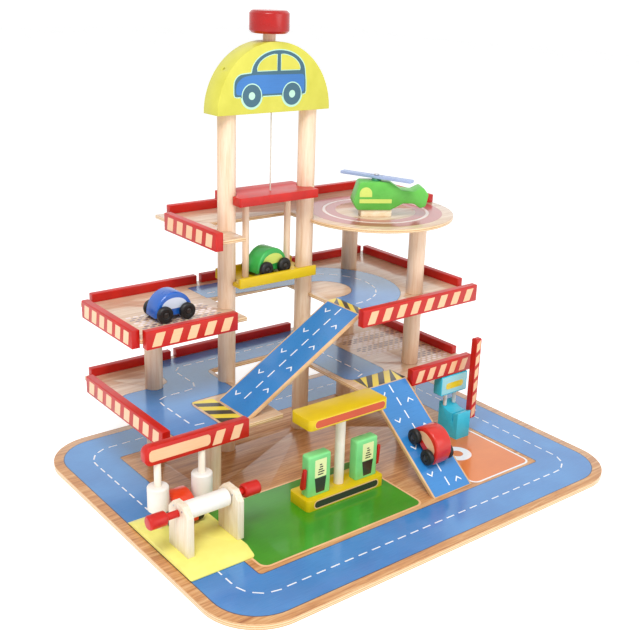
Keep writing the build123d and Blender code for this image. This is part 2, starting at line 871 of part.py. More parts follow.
def car_places():
    """Where each car stands: its spot on the surface and the way it points."""
    slope = ramp_slope(lower_ramp_length)
    run = red_car_down_ramp * math.cos(slope)
    fall = red_car_down_ramp * math.sin(slope)
    lane_x = lower_ramp_left + ramp_width / 2
    downhill = Pos(lane_x, deck_front - run, deck_top[1] - fall) * Rot(0, 0, -90) * Rot(0, math.degrees(slope), 0)
    return {
        "blue_car": Pos(blue_car_x, blue_car_y, deck_top[2]) * Rot(0, 0, 180),
        "green_car": Pos(lift_x, lift_y, tray_bottom + tray_floor_thick) * Rot(0, 0, green_car_turn),
        "red_car": downhill,
        "orange_car": Pos(orange_car_x, orange_car_y, wash_top) * Rot(0, 0, -90),
    }


def save_cars():
    for name, place in car_places().items():
        stand = place * Pos(0, 0, ground_gap)
        save(f"{name}_body", stand * car_body())
        save(f"{name}_front_wheels", stand * wheel_set(wheel_base / 2))
        save(f"{name}_rear_wheels", stand * wheel_set(-wheel_base / 2))


# ---------------------------------------------------------------- write every sub-part
def save_structure():
    save("base_board", base_board())
    save("base_screws", *[base_screw(x, y) for x, y in screw_places()])
    for number in (1, 2, 3):
        save(f"deck_{number}", deck(number))
    save("deck_posts", *deck_posts())
    save("deck_pins", *deck_pins())
    save("lift_posts", *lift_posts())
    save("side_board_1", side_board(deck_left, side_board_1_run, 1))
    save("side_board_2", side_board(deck_left, side_board_2_run, 2))
    save("side_board_3", side_board(deck_3_left, side_board_3_run, 3))
    save("front_board_1", front_board(deck_front, front_board_1_run, 1))
    left_front = front_board(deck_2_left_front, front_board_2_left_run, 2)
    save("front_boards_2", left_front, front_board(deck_front, front_board_2_right_run, 2))
    save("wash_sign_board", wash_sign_board())
    save("rails_1", *back_rails(rail_1_run, rail_1_split, 1), side_rail(deck_right, side_rail_run, 1))
    save("rails_2", *back_rails(rail_2_run, rail_2_split, 2), side_rail(deck_right, side_rail_run, 2))
    top_side_run = (side_rail_3_front, side_rail_run[1])
    save("rails_3", rail(rail_3_run, (deck_back - rail_thick, deck_back), deck_top[3]),
         side_rail(deck_3_right, top_side_run, 3))
    save("upper_ramp", upper_ramp())
    save("lower_ramp", lower_ramp())


def save_lift():
    save("tower_head", tower_head())
    save("guide_plug", guide_plug())
    save("winding_spindle", winding_spindle())
    save("cord_winding", cord_winding())
    save("winding_knob", winding_knob())
    save("lift_cord", lift_cord())
    save("lift_tray", lift_tray())
    save("lift_roof", lift_roof())
    save("lift_rods", *lift_rods())


def save_ground_toys():
    save("station_base", station_base())
    save("station_post", station_post())
    save("station_roof", station_roof())
    save("pumps", pump(pump_left_x), pump(pump_right_x))
    save("pump_nozzles", *pump_holsters(), *pump_nozzles())
    save("wash_base", wash_base())
    save("wash_plates", *wash_plates())
    save("wash_top_roller", wash_top_roller())
    save("wash_axle", wash_axle(), *wash_knobs())
    save("wash_dowels", *wash_dowels())
    for name, x in wash_rollers.items():
        save(name, wash_side_roller(x))
    save("booth_block", booth_block())
    save("booth_dowels", *booth_dowels())
    save("booth_sign", booth_sign())
    save("barrier_arm", barrier_arm())


def save_helicopter():
    save("helicopter_block", helicopter_block())
    save("helicopter_body", helicopter_body())
    save("helicopter_rotor", helicopter_rotor())
    save("pivot_pins", rotor_pin(), barrier_pin())


os.makedirs("parts", exist_ok=True)
save_structure()
save_lift()
save_ground_toys()
save_helicopter()
save_cars()
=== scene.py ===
# %% [markdown]
# # A wooden parking garage with a cord lift
# The real toy is cut from plywood, dowels and blocks, then painted or printed. Its solids are already
# made at their true size, in a frame that this script loads, and nothing here moves or resizes them.
# What is left is what the eye sees: eased edges, paint, grain, printed roads, a twisted cord and small
# fittings. Each cell adds one of these and prints what it made.

# %% Load the frame
import json
import math
import bpy
from mathutils import Matrix, Vector


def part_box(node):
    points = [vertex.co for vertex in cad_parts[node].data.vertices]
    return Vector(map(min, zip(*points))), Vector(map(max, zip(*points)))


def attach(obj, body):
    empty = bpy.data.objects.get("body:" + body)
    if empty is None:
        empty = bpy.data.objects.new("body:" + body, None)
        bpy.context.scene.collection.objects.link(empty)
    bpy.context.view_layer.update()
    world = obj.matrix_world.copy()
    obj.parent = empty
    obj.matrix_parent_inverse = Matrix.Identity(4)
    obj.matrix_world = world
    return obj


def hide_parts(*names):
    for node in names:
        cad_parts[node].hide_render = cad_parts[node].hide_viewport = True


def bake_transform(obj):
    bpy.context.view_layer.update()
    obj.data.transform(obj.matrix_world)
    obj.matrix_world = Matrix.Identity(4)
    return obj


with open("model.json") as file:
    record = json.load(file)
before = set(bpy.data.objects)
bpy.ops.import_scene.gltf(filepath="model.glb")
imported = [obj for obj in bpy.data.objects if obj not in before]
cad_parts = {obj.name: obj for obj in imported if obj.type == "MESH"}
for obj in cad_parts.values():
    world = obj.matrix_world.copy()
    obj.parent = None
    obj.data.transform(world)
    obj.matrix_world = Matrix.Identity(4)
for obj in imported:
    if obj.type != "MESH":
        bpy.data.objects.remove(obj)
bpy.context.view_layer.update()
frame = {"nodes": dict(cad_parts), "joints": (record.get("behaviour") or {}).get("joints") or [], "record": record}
record = frame["record"]
body_of = {node: body for body, nodes in record["behaviour"]["bodies"].items() for node in nodes}

# %% [markdown]
# ## Working in edit mode
# By hand, a piece is selected, opened in edit mode, shaped and closed again. A script does the same,
# but it has to say each time what is selected, because every operator acts on all that is. These
# tools do only that, so the later cells can name the shaping steps alone.

# %% Select, edit, modify
MM = 0.001


def pick(obj):
    """Selects this object alone."""
    bpy.ops.object.select_all(action="DESELECT")
    obj.select_set(True)
    bpy.context.view_layer.objects.active = obj


def edit(obj, *steps):
    """Runs each step in edit mode with the whole mesh selected."""
    pick(obj)
    bpy.ops.object.mode_set(mode="EDIT")
    bpy.ops.mesh.select_all(action="SELECT")
    for step in steps:
        step()
    bpy.ops.object.mode_set(mode="OBJECT")


def modify(obj, kind, **settings):
    """Adds one modifier and applies it."""
    pick(obj)
    modifier = obj.modifiers.new(kind, kind)
    for key, value in settings.items():
        setattr(modifier, key, value)
    bpy.ops.object.modifier_apply(modifier=modifier.name)
    return obj


def smooth(obj, angle=35):
    """Smooth shading that keeps the edges sharper than this angle."""
    pick(obj)
    bpy.ops.object.shade_smooth_by_angle(angle=math.radians(angle))
    return obj


def merge_doubles():
    bpy.ops.mesh.remove_doubles(threshold=0.01 * MM)


def face_outwards():
    bpy.ops.mesh.normals_make_consistent(inside=False)


print("one millimetre is", MM, "scene units")

# %% [markdown]
# ## Handing a piece over
# A finished piece needs three things: one object, its material and the body that it moves with. What
# repeats is modelled once and copied, and each copy has its own mesh, so that its place can be written
# into it while the object stays at the origin.

# %% Join, copy, dress
def joined(name, parts):
    """Makes one object of several."""
    bpy.ops.object.select_all(action="DESELECT")
    for part in parts:
        part.select_set(True)
    bpy.context.view_layer.objects.active = parts[0]
    if len(parts) > 1:
        bpy.ops.object.join()
    parts[0].name = name
    return parts[0]


def dress(obj, finish, body):
    """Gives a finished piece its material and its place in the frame."""
    obj.data.materials.clear()
    obj.data.materials.append(finish)
    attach(obj, body)
    return obj


def copy_of(obj, matrix):
    """One more of a modelled piece, with its own mesh."""
    made = obj.copy()
    made.data = obj.data.copy()
    made.data.transform(matrix)
    bpy.context.collection.objects.link(made)
    return made


def discard(obj):
    bpy.data.objects.remove(obj, do_unlink=True)


# %% [markdown]
# ## Colours and nodes
# Colours are written as on a screen and turned to linear light, which is what Blender mixes. One small
# function adds a node with its settings, values and links. Patterns read object coordinates, which are
# metres, so a scale is worked out from a real size: nine cells in 10 mm make a scale of 900.

# %% Add a node
def linear(code):
    """A screen colour as linear light."""
    parts = [int(code[i:i + 2], 16) / 255 for i in (1, 3, 5)]
    return [p / 12.92 if p <= 0.04045 else ((p + 0.055) / 1.055) ** 2.4 for p in parts] + [1.0]


def add(tree, kind, sockets=None, stops=(), **settings):
    """A node. A socket takes a constant, an output, or a node, which stands for its first output."""
    made = tree.nodes.new("ShaderNode" + kind)
    for key, value in settings.items():
        setattr(made, key, value)
    for key, value in (sockets or {}).items():
        if isinstance(value, bpy.types.Node):
            value = value.outputs[0]
        if isinstance(value, bpy.types.NodeSocket):
            tree.links.new(value, made.inputs[key])
        else:
            made.inputs[key].default_value = value
    for _ in stops[2:]:
        made.color_ramp.elements.new(0.5)
    for i, (place, code) in enumerate(stops):
        made.color_ramp.elements[i].position = place
        made.color_ramp.elements[i].color = linear(code)
    return made


print("white is", linear("#ffffff"))

# %% [markdown]
# Every material starts with an empty tree and coordinates, once as they are and once stretched, and ends
# with a shader that takes a colour, a roughness and a relief. What lies between is the finish itself.

# %% Start and end a material
def material(name, stretch=(1, 1, 1)):
    """An empty material, its tree, its coordinates, and the same multiplied along each axis."""
    made = bpy.data.materials.new(name)
    made.use_nodes = True
    tree = made.node_tree
    tree.nodes.clear()
    place = add(tree, "TexCoord").outputs["Object"]
    return made, tree, place, add(tree, "Mapping", {"Vector": place, "Scale": stretch})


def surface(tree, colour, rough, relief, strength, depth, sockets):
    """The shader, with a relief so many millimetres deep, and the output."""
    bump = add(tree, "Bump", {"Height": relief, "Strength": strength, "Distance": depth * MM})
    look = {"Base Color": colour, "Roughness": rough, "Normal": bump, **sockets}
    add(tree, "OutputMaterial", {0: add(tree, "BsdfPrincipled", look)})


def cells(count, length):
    """The scale at which a pattern has so many cells in so many millimetres."""
    return count / (length * MM)


def shares(tree, first, share, second, other):
    """Two patterns added up in these shares."""
    pair = [add(tree, "Math", {0: pattern, 1: part}, operation="MULTIPLY")
            for pattern, part in ((first, share), (second, other))]
    return add(tree, "Math", {0: pair[0], 1: pair[1]}, operation="ADD")


# A stretch of 0.06 draws cells about 16 times as long as wide, as fibres in wood are.
GRAIN = {"X": (0.06, 1.0, 1.0), "Y": (1.0, 0.06, 1.0), "Z": (1.0, 1.0, 0.06)}
print("nine cells in 10 mm are a scale of", cells(9, 10))

# %% [markdown]
# ## Paint on wood
# The toy's blocks are dipped or sprayed with satin water-based paint. It fills most of the grain, so
# the tone is a little cloudy, and only the deepest pores show as faint pale lines and as relief. A
# plain colour would look like plastic, so a wide noise drives tone and gloss, and a long narrow one
# the pores. Real pores are 0.1 mm wide. Here they are 1 mm, the finest that shows in the picture.

# %% Satin paint
PORES, PAINT_CLOUDS = cells(9, 10), cells(9, 200)


def painted(name, code, shade, axis="X", gloss=0.36, coat=0.0):
    made, tree, place, grain = material(name, GRAIN[axis])
    pores = add(tree, "TexNoise", {"Vector": grain, "Scale": PORES, "Detail": 4, "Roughness": 0.6,
                                   "Distortion": 0.3})
    cloud = add(tree, "TexNoise", {"Vector": place, "Scale": PAINT_CLOUDS, "Detail": 3, "Roughness": 0.55})
    base = add(tree, "ValToRGB", {0: cloud}, ((0.3, shade), (0.7, code)))
    thin = add(tree, "ValToRGB", {0: pores}, ((0.64, "#000000"), (0.82, "#202020")))
    colour = add(tree, "Mix", {0: thin, 6: base, 7: linear("#fff4e0")}, data_type="RGBA").outputs[2]
    rough = add(tree, "MapRange", {0: cloud, 3: gloss - 0.06, 4: gloss + 0.08})
    surface(tree, colour, rough, pores, 0.12, 0.2,
            {"Specular IOR Level": 0.38, "Coat Weight": coat, "Coat Roughness": 0.12})
    return made


print("pores have a scale of", PORES, "and clouds in the paint", PAINT_CLOUDS)

# %% [markdown]
# ## Lacquered wood
# Dowels, plates and decks are bare wood under clear lacquer. Their colour comes in broad streaks, from
# early and late wood, with fine fibres over them. Plywood also shows its layers on a cut edge: the
# height picks the layer, and the face's direction tells an edge from a face, so one material does both.
# Fibres are 0.05 mm and layers 1.3 mm in the real wood. They are drawn at 0.9 and 2.5 mm, or they
# would blur to one tone at this distance.

# %% Clear lacquer on pine, birch and plywood
FIBRES, STREAKS, WOOD_CLOUDS, PLIES = cells(11, 10), cells(16, 100), cells(11, 500), cells(2, 5)


def bare_wood(name, pale, mid, dark, axis, gloss, streak=1.0, ply=False, coat=0.0):
    made, tree, place, grain = material(name, GRAIN[axis])
    fibre = add(tree, "TexNoise", {"Vector": grain, "Scale": FIBRES, "Detail": 5, "Roughness": 0.65,
                                   "Distortion": 0.4})
    band = add(tree, "TexNoise", {"Vector": grain, "Scale": STREAKS, "Detail": 3, "Roughness": 0.6,
                                  "Distortion": 1.2})
    cloud = add(tree, "TexNoise", {"Vector": place, "Scale": WOOD_CLOUDS, "Detail": 2, "Roughness": 0.5})
    figure = add(tree, "ValToRGB", {0: shares(tree, band, 0.65, fibre, 0.35)},
                 ((0.5 - 0.17 * streak, dark), (0.5, mid), (0.5 + 0.14 * streak, pale)))
    calm = add(tree, "MapRange", {0: cloud, 3: 0.0, 4: 0.3})
    colour = add(tree, "Mix", {0: calm, 6: figure, 7: linear(mid)}, data_type="RGBA").outputs[2]
    if ply:
        height = add(tree, "SeparateXYZ", {0: place}).outputs[2]
        upward = add(tree, "SeparateXYZ", {0: place.node.outputs["Normal"]}).outputs[2]
        layer = add(tree, "Math", {0: height, 1: PLIES}, operation="MULTIPLY")
        sheet = add(tree, "Math", {0: layer}, operation="FRACT")
        edge = add(tree, "ValToRGB", {0: shares(tree, sheet, 0.6, fibre, 0.5)},
                   ((0.3, "#bd824c"), (0.5, "#deb57f"), (0.72, "#efd2a6")))
        level = add(tree, "Math", {0: upward}, operation="ABSOLUTE")
        face = add(tree, "Math", {0: level, 1: 0.6}, operation="GREATER_THAN")
        colour = add(tree, "Mix", {0: face, 6: edge, 7: colour}, data_type="RGBA").outputs[2]
    rough = add(tree, "MapRange", {0: fibre, 3: gloss - 0.08, 4: gloss + 0.1})
    surface(tree, colour, rough, fibre, 0.15, 0.2, {"Coat Weight": coat, "Coat Roughness": 0.1})
    return made


print("plywood edges show", PLIES * MM, "layers in a millimetre")

# %% [markdown]
# ## Ink on lacquered board
# The roads and signs are screen printed and lacquered over. The ink lies so thin that the fibres tint
# it, and the lacquer above is what shines. So the ink is a little uneven and the gloss is a clear coat.

# %% Screen print under lacquer
INK_CLOUDS = cells(9, 500)


def printed(name, code, shade, gloss=0.3, coat=0.6):
    made, tree, place, grain = material(name, GRAIN["X"])
    fibre = add(tree, "TexNoise", {"Vector": grain, "Scale": PORES, "Detail": 4, "Roughness": 0.6,
                                   "Distortion": 0.3})
    cloud = add(tree, "TexNoise", {"Vector": place, "Scale": INK_CLOUDS, "Detail": 2, "Roughness": 0.5})
    tone = shares(tree, fibre, 0.4, cloud, 0.6)
    colour = add(tree, "ValToRGB", {0: tone}, ((0.38, shade), (0.62, code)))
    rough = add(tree, "MapRange", {0: fibre, 3: gloss - 0.04, 4: gloss + 0.06})
    surface(tree, colour, rough, fibre, 0.05, 0.1, {"Coat Weight": coat, "Coat Roughness": 0.1})
    return made


print("clouds in the ink have a scale of", INK_CLOUDS)

# %% [markdown]
# ## The palette
# Each finish is named for the real one. The second colour of a paint or an ink is where it lies thick.

# %% Woods
# calm brown face veneer with strong streaks and pale layered edges
ground_wood = bare_wood("Ground_board_plywood", "#e2b987", "#ca8f57", "#945328", "X", 0.34, 1.0, True, 0.35)
# thinner and paler boards with a glossier lacquer that mirrors what stands on them
deck_wood = bare_wood("Deck_plywood", "#e6d0b8", "#d8b99a", "#c39c7a", "X", 0.3, 0.9, True, 0.5)
# turned dowels, grain upwards, nearly matt
pine_dowel = bare_wood("Pine_dowel", "#f3dcc4", "#ecceb0", "#dbb28a", "Z", 0.42)
# a sawn block, lighter because it is cut across the pale early wood
pine_block = bare_wood("Pine_block", "#fbf0d8", "#f6e4c2", "#ecd0a0", "X", 0.42)
# nearly white uprights of the car wash with hardly any figure
birch_plate = bare_wood("Pale_birch_plate", "#f2e8d6", "#ecdfc8", "#e2ceac", "Z", 0.42, 0.8)
print("woods:", len(bpy.data.materials))

# %% Paints
cream_paint = painted("Cream_painted_post", "#f8eee0", "#f1e3cf", "Z")  # warm off-white, soft sheen
red_paint = painted("Red_paint", "#cc1c10", "#b9150b", "X", 0.34)  # full red that hides the wood
side_red = painted("Red_paint_side_boards", "#cc1c10", "#b9150b", "Y", 0.34)  # same, grain front to back
knob_red = painted("Red_gloss_knob", "#b00a05", "#9e0603", "Z", 0.26, 0.2)  # deeper, polished by hands
yellow_paint = painted("Yellow_paint", "#e0c004", "#d7b502", "X", 0.34)  # strong warm yellow
head_lemon = painted("Lemon_paint_head", "#d2cd50", "#c8c344", "X", 0.36)  # greenish pale yellow
lemon_paint = painted("Pale_yellow_paint", "#f4ed82", "#ece474", "Y", 0.36)  # chalky light yellow
ramp_edge = painted("Ramp_edges_plywood", "#e6c294", "#d4a672", "X", 0.4)  # sealed cut edge, no figure
pump_green = painted("Pump_green_paint", "#8be391", "#7cd683", "Z")  # minty and light
lime_paint = painted("Helicopter_green_paint", "#69c352", "#5cb546", "X")  # leaf green
teal_paint = painted("Teal_paint", "#3fc6e0", "#34b8d4", "Z")  # clear turquoise
white_paint = painted("White_paint", "#f4f1ec", "#ebe6dd", "Z", 0.4)  # slightly warm white
rotor_paint = painted("Grey_blue_paint", "#a9bbe0", "#9badd4", "X")  # dusty light blue
wheel_black = painted("Black_wheel_paint", "#1b1b1c", "#101011", "X", 0.42)  # dull black
car_paints = {
    "blue": painted("Blue_car_paint", "#1f68c8", "#195bb6", "X", 0.28, 0.3),  # glossy royal blue
    "green": painted("Green_car_paint", "#36b04e", "#2c9f43", "X", 0.3, 0.3),  # glossy mid green
    "red": painted("Red_car_paint", "#d8281c", "#c61f14", "X", 0.3, 0.3),  # glossy signal red
    "orange": painted("Orange_car_paint", "#e8431c", "#d83914", "X", 0.3, 0.3),  # glossy red-orange
}
print("woods and paints:", len(bpy.data.materials))

# %% Inks
road_ink = printed("Road_blue_ink", "#468ed0", "#397ec2", 0.24, 0.65)  # the glossiest, mirrors the posts
ramp_ink = printed("Ramp_blue_ink", "#3186cc", "#287cc0", 0.28, 0.5)  # a purer blue
line_ink = printed("Dark_outline_ink", "#3b4a63", "#303d54")  # blue-black key line
white_ink = printed("White_ink", "#f6f8fb", "#eaf0f6")  # cool white
cream_ink = printed("Cream_ink", "#f4c394", "#eeb986")  # peach-cream, as if left unprinted
grass_ink = printed("Grass_green_ink", "#39981a", "#2e8811")  # saturated green
orange_ink = printed("Orange_ink", "#e27d2a", "#d77120")  # brick orange
pink_ink = printed("Pink_ink", "#b9605c", "#ac5552")  # red let down with white
grey_ink = printed("Grey_ink", "#94787a", "#886c6e")  # reddish grey
tile_ink = printed("Pale_rose_tile_ink", "#f4e4e2", "#ecd8d5")  # nearly white rose
yellow_ink = printed("Yellow_ink", "#f3dc2c", "#e8ce1e")  # warning yellow
black_ink = printed("Black_ink", "#1a1812", "#121009")  # warm black
slate_ink = printed("Slate_outline_ink", "#2f6073", "#285768", 0.34, 0.2)  # blue over grey
picture_ink = printed("Picture_blue_ink", "#2a74bc", "#256aae", 0.34, 0.2)  # flat mid blue
pale_ink = printed("Pale_green_outline_ink", "#b9e2cc", "#acd9c0", 0.34, 0.2)  # minty white
teal_ink = printed("Pale_teal_ink", "#a6e4ea", "#98dae2", 0.34, 0.2)  # washed turquoise
peach_ink = printed("Peach_window_ink", "#f8c49c", "#f0b88c", 0.3, 0.3)  # the pale wood under red
sky_ink = printed("Pale_sky_window_ink", "#e6eefb", "#d8e4f6", 0.3, 0.3)  # icy white
gauge_ink = printed("Pale_yellow_gauge_ink", "#f1f6b4", "#e8eea4", 0.34, 0.2)  # lit dial yellow
lime_ink = printed("Yellow_green_window_ink", "#d2e26e", "#c8da60", 0.34, 0.2)  # light yellow-green
barrier_red = painted("Red_paint_barrier", "#cc1c10", "#b9150b", "Z", 0.34)  # the red, grain upwards
print("woods, paints and inks:", len(bpy.data.materials))

# %% [markdown]
# ## Steel and cotton
# Screws and pins are zinc-plated steel: a plain metal with fine drawn scratches. The cord is twisted
# cotton. Its strands are modelled below, so the material only adds the fuzz of single hairs. Scratches
# and hairs are hundredths of a millimetre wide. They are drawn at 0.4 and 0.25 mm, so that they show.

# %% Metal and cord
# bright bluish grey with fine lines
steel, tree, place, drawn = material("Zinc_plated_steel", (1, 1, 0.2))
scratch = add(tree, "TexNoise", {"Vector": drawn, "Scale": cells(5, 2), "Detail": 3, "Roughness": 0.6})
tone = add(tree, "ValToRGB", {0: scratch}, ((0.3, "#a9abae"), (0.7, "#d4d6d8")))
rough = add(tree, "MapRange", {0: scratch, 3: 0.25, 4: 0.42})
surface(tree, tone, rough, scratch, 0.1, 0.1, {"Metallic": 1.0})

# off-white and quite matt, with a pale rim of fuzz
cotton, tree, place, drawn = material("Twisted_cotton_cord", (1, 1, 0.5))
hairs = add(tree, "TexNoise", {"Vector": drawn, "Scale": cells(4, 1), "Detail": 4, "Roughness": 0.6})
tone = add(tree, "ValToRGB", {0: hairs}, ((0.3, "#cfc8ba"), (0.7, "#f3eee2")))
surface(tree, tone, 0.85, hairs, 0.3, 0.1, {"Sheen Weight": 0.4})
print("materials:", len(bpy.data.materials))

# %% [markdown]
# ## Softened pieces
# Sanded and painted wood has no razor edges, and an eased edge catches the light. Scaling or sculpting
# would change a piece's size, so each solid is copied, its loose triangles are merged and flattened,
# and a bevel of real width rounds what is sharper than 40 degrees. The drive-over block also has
# rounded corners in plan: only its upright corner edges are selected, by their place, and bevelled.

# %% Ease the edges
def round_corners(obj, radius):
    """Rounds the upright edges at the four outer corners of a slab."""
    spots = [vertex.co for vertex in obj.data.vertices]
    ends = [(min(s[i] for s in spots), max(s[i] for s in spots)) for i in (0, 1)]
    at_end = lambda co, i: min(abs(co[i] - ends[i][0]), abs(co[i] - ends[i][1])) < 0.1 * MM
    edit(obj, lambda: bpy.ops.mesh.select_mode(type="EDGE"),
         lambda: bpy.ops.mesh.select_all(action="DESELECT"))
    for edge in obj.data.edges:
        pair = [obj.data.vertices[i].co for i in edge.vertices]
        edge.select = all(at_end(co, 0) and at_end(co, 1) for co in pair)
    pick(obj)
    bpy.ops.object.mode_set(mode="EDIT")
    bpy.ops.mesh.bevel(offset=radius * MM, segments=6, affect="EDGES")
    bpy.ops.object.mode_set(mode="OBJECT")


def softened(node, width, finish, corner):
    """A copy of a solid with its edges eased by width millimetres."""
    source = frame["nodes"][node]
    made = source.copy()
    made.data = source.data.copy()
    made.parent = None
    made.matrix_world = Matrix.Identity(4)
    bpy.context.collection.objects.link(made)
    made.name = node + "_finished"
    flatten = lambda: bpy.ops.mesh.dissolve_limited(angle_limit=math.radians(1.5))
    edit(made, merge_doubles, flatten, face_outwards)
    if corner:
        round_corners(made, corner)
    if width:
        modify(made, "BEVEL", width=width * MM, segments=2, limit_method="ANGLE",
               angle_limit=math.radians(40), miter_outer="MITER_ARC")
    smooth(made)
    dress(made, finish, body_of[node])
    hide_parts(node)
    return made


print("solids to soften: all but the two cords")

# %% [markdown]
# Edge widths follow how each piece is made: sawn boards are only broken by sandpaper (0.3 to 0.6 mm),
# blocks are routed (0.8 to 1.6 mm), and the helicopter is a hand-sized toy with the roundest edges.

# %% Widths and finishes
EASED = (
    (1.0, ground_wood, "base_board"), (0.6, deck_wood, "deck_1 deck_2 deck_3"),
    (0.5, pine_dowel, "deck_posts lift_posts"), (0.0, pine_dowel, "deck_pins"), (0.0, steel, "base_screws"),
    (0.5, side_red, "side_board_1 side_board_2 side_board_3"),
    (0.5, red_paint, "front_board_1 front_boards_2 wash_sign_board"),
    (0.4, red_paint, "rails_1 rails_2 rails_3"), (0.3, ramp_edge, "upper_ramp lower_ramp"),
    (1.6, head_lemon, "tower_head"), (0.2, pine_dowel, "guide_plug"), (0.3, pine_dowel, "winding_spindle"),
    (0.6, knob_red, "winding_knob"), (0.9, yellow_paint, "lift_tray"), (0.8, red_paint, "lift_roof"),
    (0.0, pine_dowel, "lift_rods"), (1.2, yellow_paint, "station_base"), (0.4, cream_paint, "station_post"),
    (1.2, yellow_paint, "station_roof"), (1.0, pump_green, "pumps"), (0.3, red_paint, "pump_nozzles"),
    (1.0, lemon_paint, "wash_base"), (1.2, birch_plate, "wash_plates"), (0.3, cream_paint, "wash_dowels"),
    (0.5, white_paint, "wash_top_roller"), (0.4, red_paint, "wash_axle"),
    (0.6, white_paint, "wash_left_roller wash_right_roller"), (0.8, teal_paint, "booth_block"),
    (0.2, white_paint, "booth_dowels"), (1.0, teal_paint, "booth_sign"), (0.7, barrier_red, "barrier_arm"),
    (0.3, steel, "pivot_pins"), (0.8, pine_block, "helicopter_block"), (2.4, lime_paint, "helicopter_body"),
    (0.5, rotor_paint, "helicopter_rotor"),
    *((0.6, paint, colour + "_car_body") for colour, paint in car_paints.items()),
    *((0.4, wheel_black, f"{colour}_car_front_wheels {colour}_car_rear_wheels") for colour in car_paints),
)
CORNERS = {"wash_base": 7.0}
for width, finish, nodes in EASED:
    for node in nodes.split():
        softened(node, width, finish, CORNERS.get(node, 0.0))
print("softened pieces:", sum(len(nodes.split()) for _, _, nodes in EASED))

# %% [markdown]
# ## Drawing outlines
# A print could be a picture on the board, but then its edge would blur close up and it would leave no
# mesh. So each print is a thin skin of ink with a crisp outline. Outlines are lists of points in
# millimetres, worked out from a few sizes: rounded rectangles, arcs, and corners that are rounded off.

# %% Outlines in millimetres
def rounded(x, y, width, height, radius, steps=6):
    """Points round a rectangle with its centre at x, y."""
    quarters = ((width / 2, height / 2, 0), (-width / 2, height / 2, 90),
                (-width / 2, -height / 2, 180), (width / 2, -height / 2, 270))
    points = []
    for right, up, start in quarters:
        centre = (x + right - math.copysign(radius, right), y + up - math.copysign(radius, up))
        for step in range(steps + 1):
            turn = math.radians(start + 90 * step / steps)
            points.append((centre[0] + radius * math.cos(turn), centre[1] + radius * math.sin(turn)))
    return points


def arc(x, y, radius, start, end, steps=24, tall=None):
    """Points along an arc, or an ellipse when tall is given."""
    turns = [math.radians(start + (end - start) * i / steps) for i in range(steps + 1)]
    return [(x + radius * math.cos(t), y + (tall or radius) * math.sin(t)) for t in turns]


def circle(x, y, radius, steps=48):
    """Points all the way round, the last one short of the first."""
    return arc(x, y, radius, 0, 360 * (steps - 1) / steps, steps - 1)


def corners(*points, radius, steps=5):
    """An outline with each corner rounded."""
    made = []
    for i, point in enumerate(points):
        here = Vector(point)
        before = Vector(points[i - 1]) - here
        after = Vector(points[(i + 1) % len(points)]) - here
        reach = min(radius, before.length * 0.45, after.length * 0.45)
        start = here + before.normalized() * reach
        end = here + after.normalized() * reach
        for step in range(steps + 1):
            t = step / steps
            made.append(tuple(start * (1 - t) ** 2 + here * 2 * t * (1 - t) + end * t ** 2))
    return made


def grown(points, amount):
    """An outline pushed outwards from its own middle line by about this much."""
    made = []
    for i in range(len(points)):
        before, here, after = (Vector(points[j % len(points)]) for j in (i - 1, i, i + 1))
        heading = (after - before).normalized()
        made.append(tuple(here + Vector((heading.y, -heading.x)) * amount))
    return made


print("a rounded rectangle has", len(rounded(0, 0, 10, 10, 1)), "points")

# %% [markdown]
# ## From outline to ink
# A circle primitive gives a ring of vertices. Its points are set to the outline, and it is filled, or
# bridged to a second ring for a line or border. Solidify then gives the skin its thickness. Ink is
# hundredths of a millimetre thick. It is drawn at 0.2 mm, half of it inside the board, so that it
# never flickers with the board's own face, and a print over another is drawn a little higher.

# %% Patches and bands
INK, RIM_INK = 0.2, 0.24


def outline(points, fill):
    """A flat ring of vertices set to these points, filled or left open."""
    kind = "NGON" if fill else "NOTHING"
    bpy.ops.mesh.primitive_circle_add(vertices=len(points), radius=MM, fill_type=kind)
    made = bpy.context.object
    for vertex, point in zip(made.data.vertices, points):
        vertex.co = (point[0] * MM, point[1] * MM, 0)
    return made


def thicken(obj, high):
    modify(obj, "SOLIDIFY", thickness=high * MM, offset=0)
    edit(obj, face_outwards)
    return obj


def patch(points, high=INK):
    """A filled print."""
    return thicken(outline(points, True), high)


def band(outer, inner, high=INK):
    """A print between two outlines with the same number of points."""
    ring = joined("band", [outline(outer, False), outline(inner, False)])
    edit(ring, lambda: bpy.ops.mesh.bridge_edge_loops())
    return thicken(ring, high)


print("ink is drawn", INK, "mm thick")

# %% [markdown]
# ## Laying a print
# Drawings are made flat at the origin. A matrix then lays them on a face, with the drawing's x to the
# right and its y up, as someone looking at the face sees it. The matrix goes into the mesh, because
# the objects stay at the origin.

# %% Lay, repeat, follow a line
def facing(origin, right, up):
    """The placing that lays a drawing on a face, with its x to the right and its y up."""
    right = Vector(right).normalized()
    up = Vector(up).normalized()
    turn = Matrix((right, up, right.cross(up))).transposed().to_4x4()
    return Matrix.Translation(Vector(origin) * MM) @ turn


def raised(high):
    """A step straight out of the face."""
    return Matrix.Translation((0, 0, high * MM))


def lay(name, parts, place, ink, body="frame"):
    """Joins drawn parts, lays them on a face and gives them their ink."""
    made = joined(name, parts)
    made.data.transform(place)
    made.data.update()
    return dress(made, ink, body)


def at(x, y, turn=0.0):
    return Matrix.Translation((x * MM, y * MM, 0)) @ Matrix.Rotation(math.radians(turn), 4, "Z")


def repeated(shape, places):
    """Copies of one drawn shape at several places. The first drawing is thrown away."""
    made = [copy_of(shape, at(*place)) for place in places]
    discard(shape)
    return made


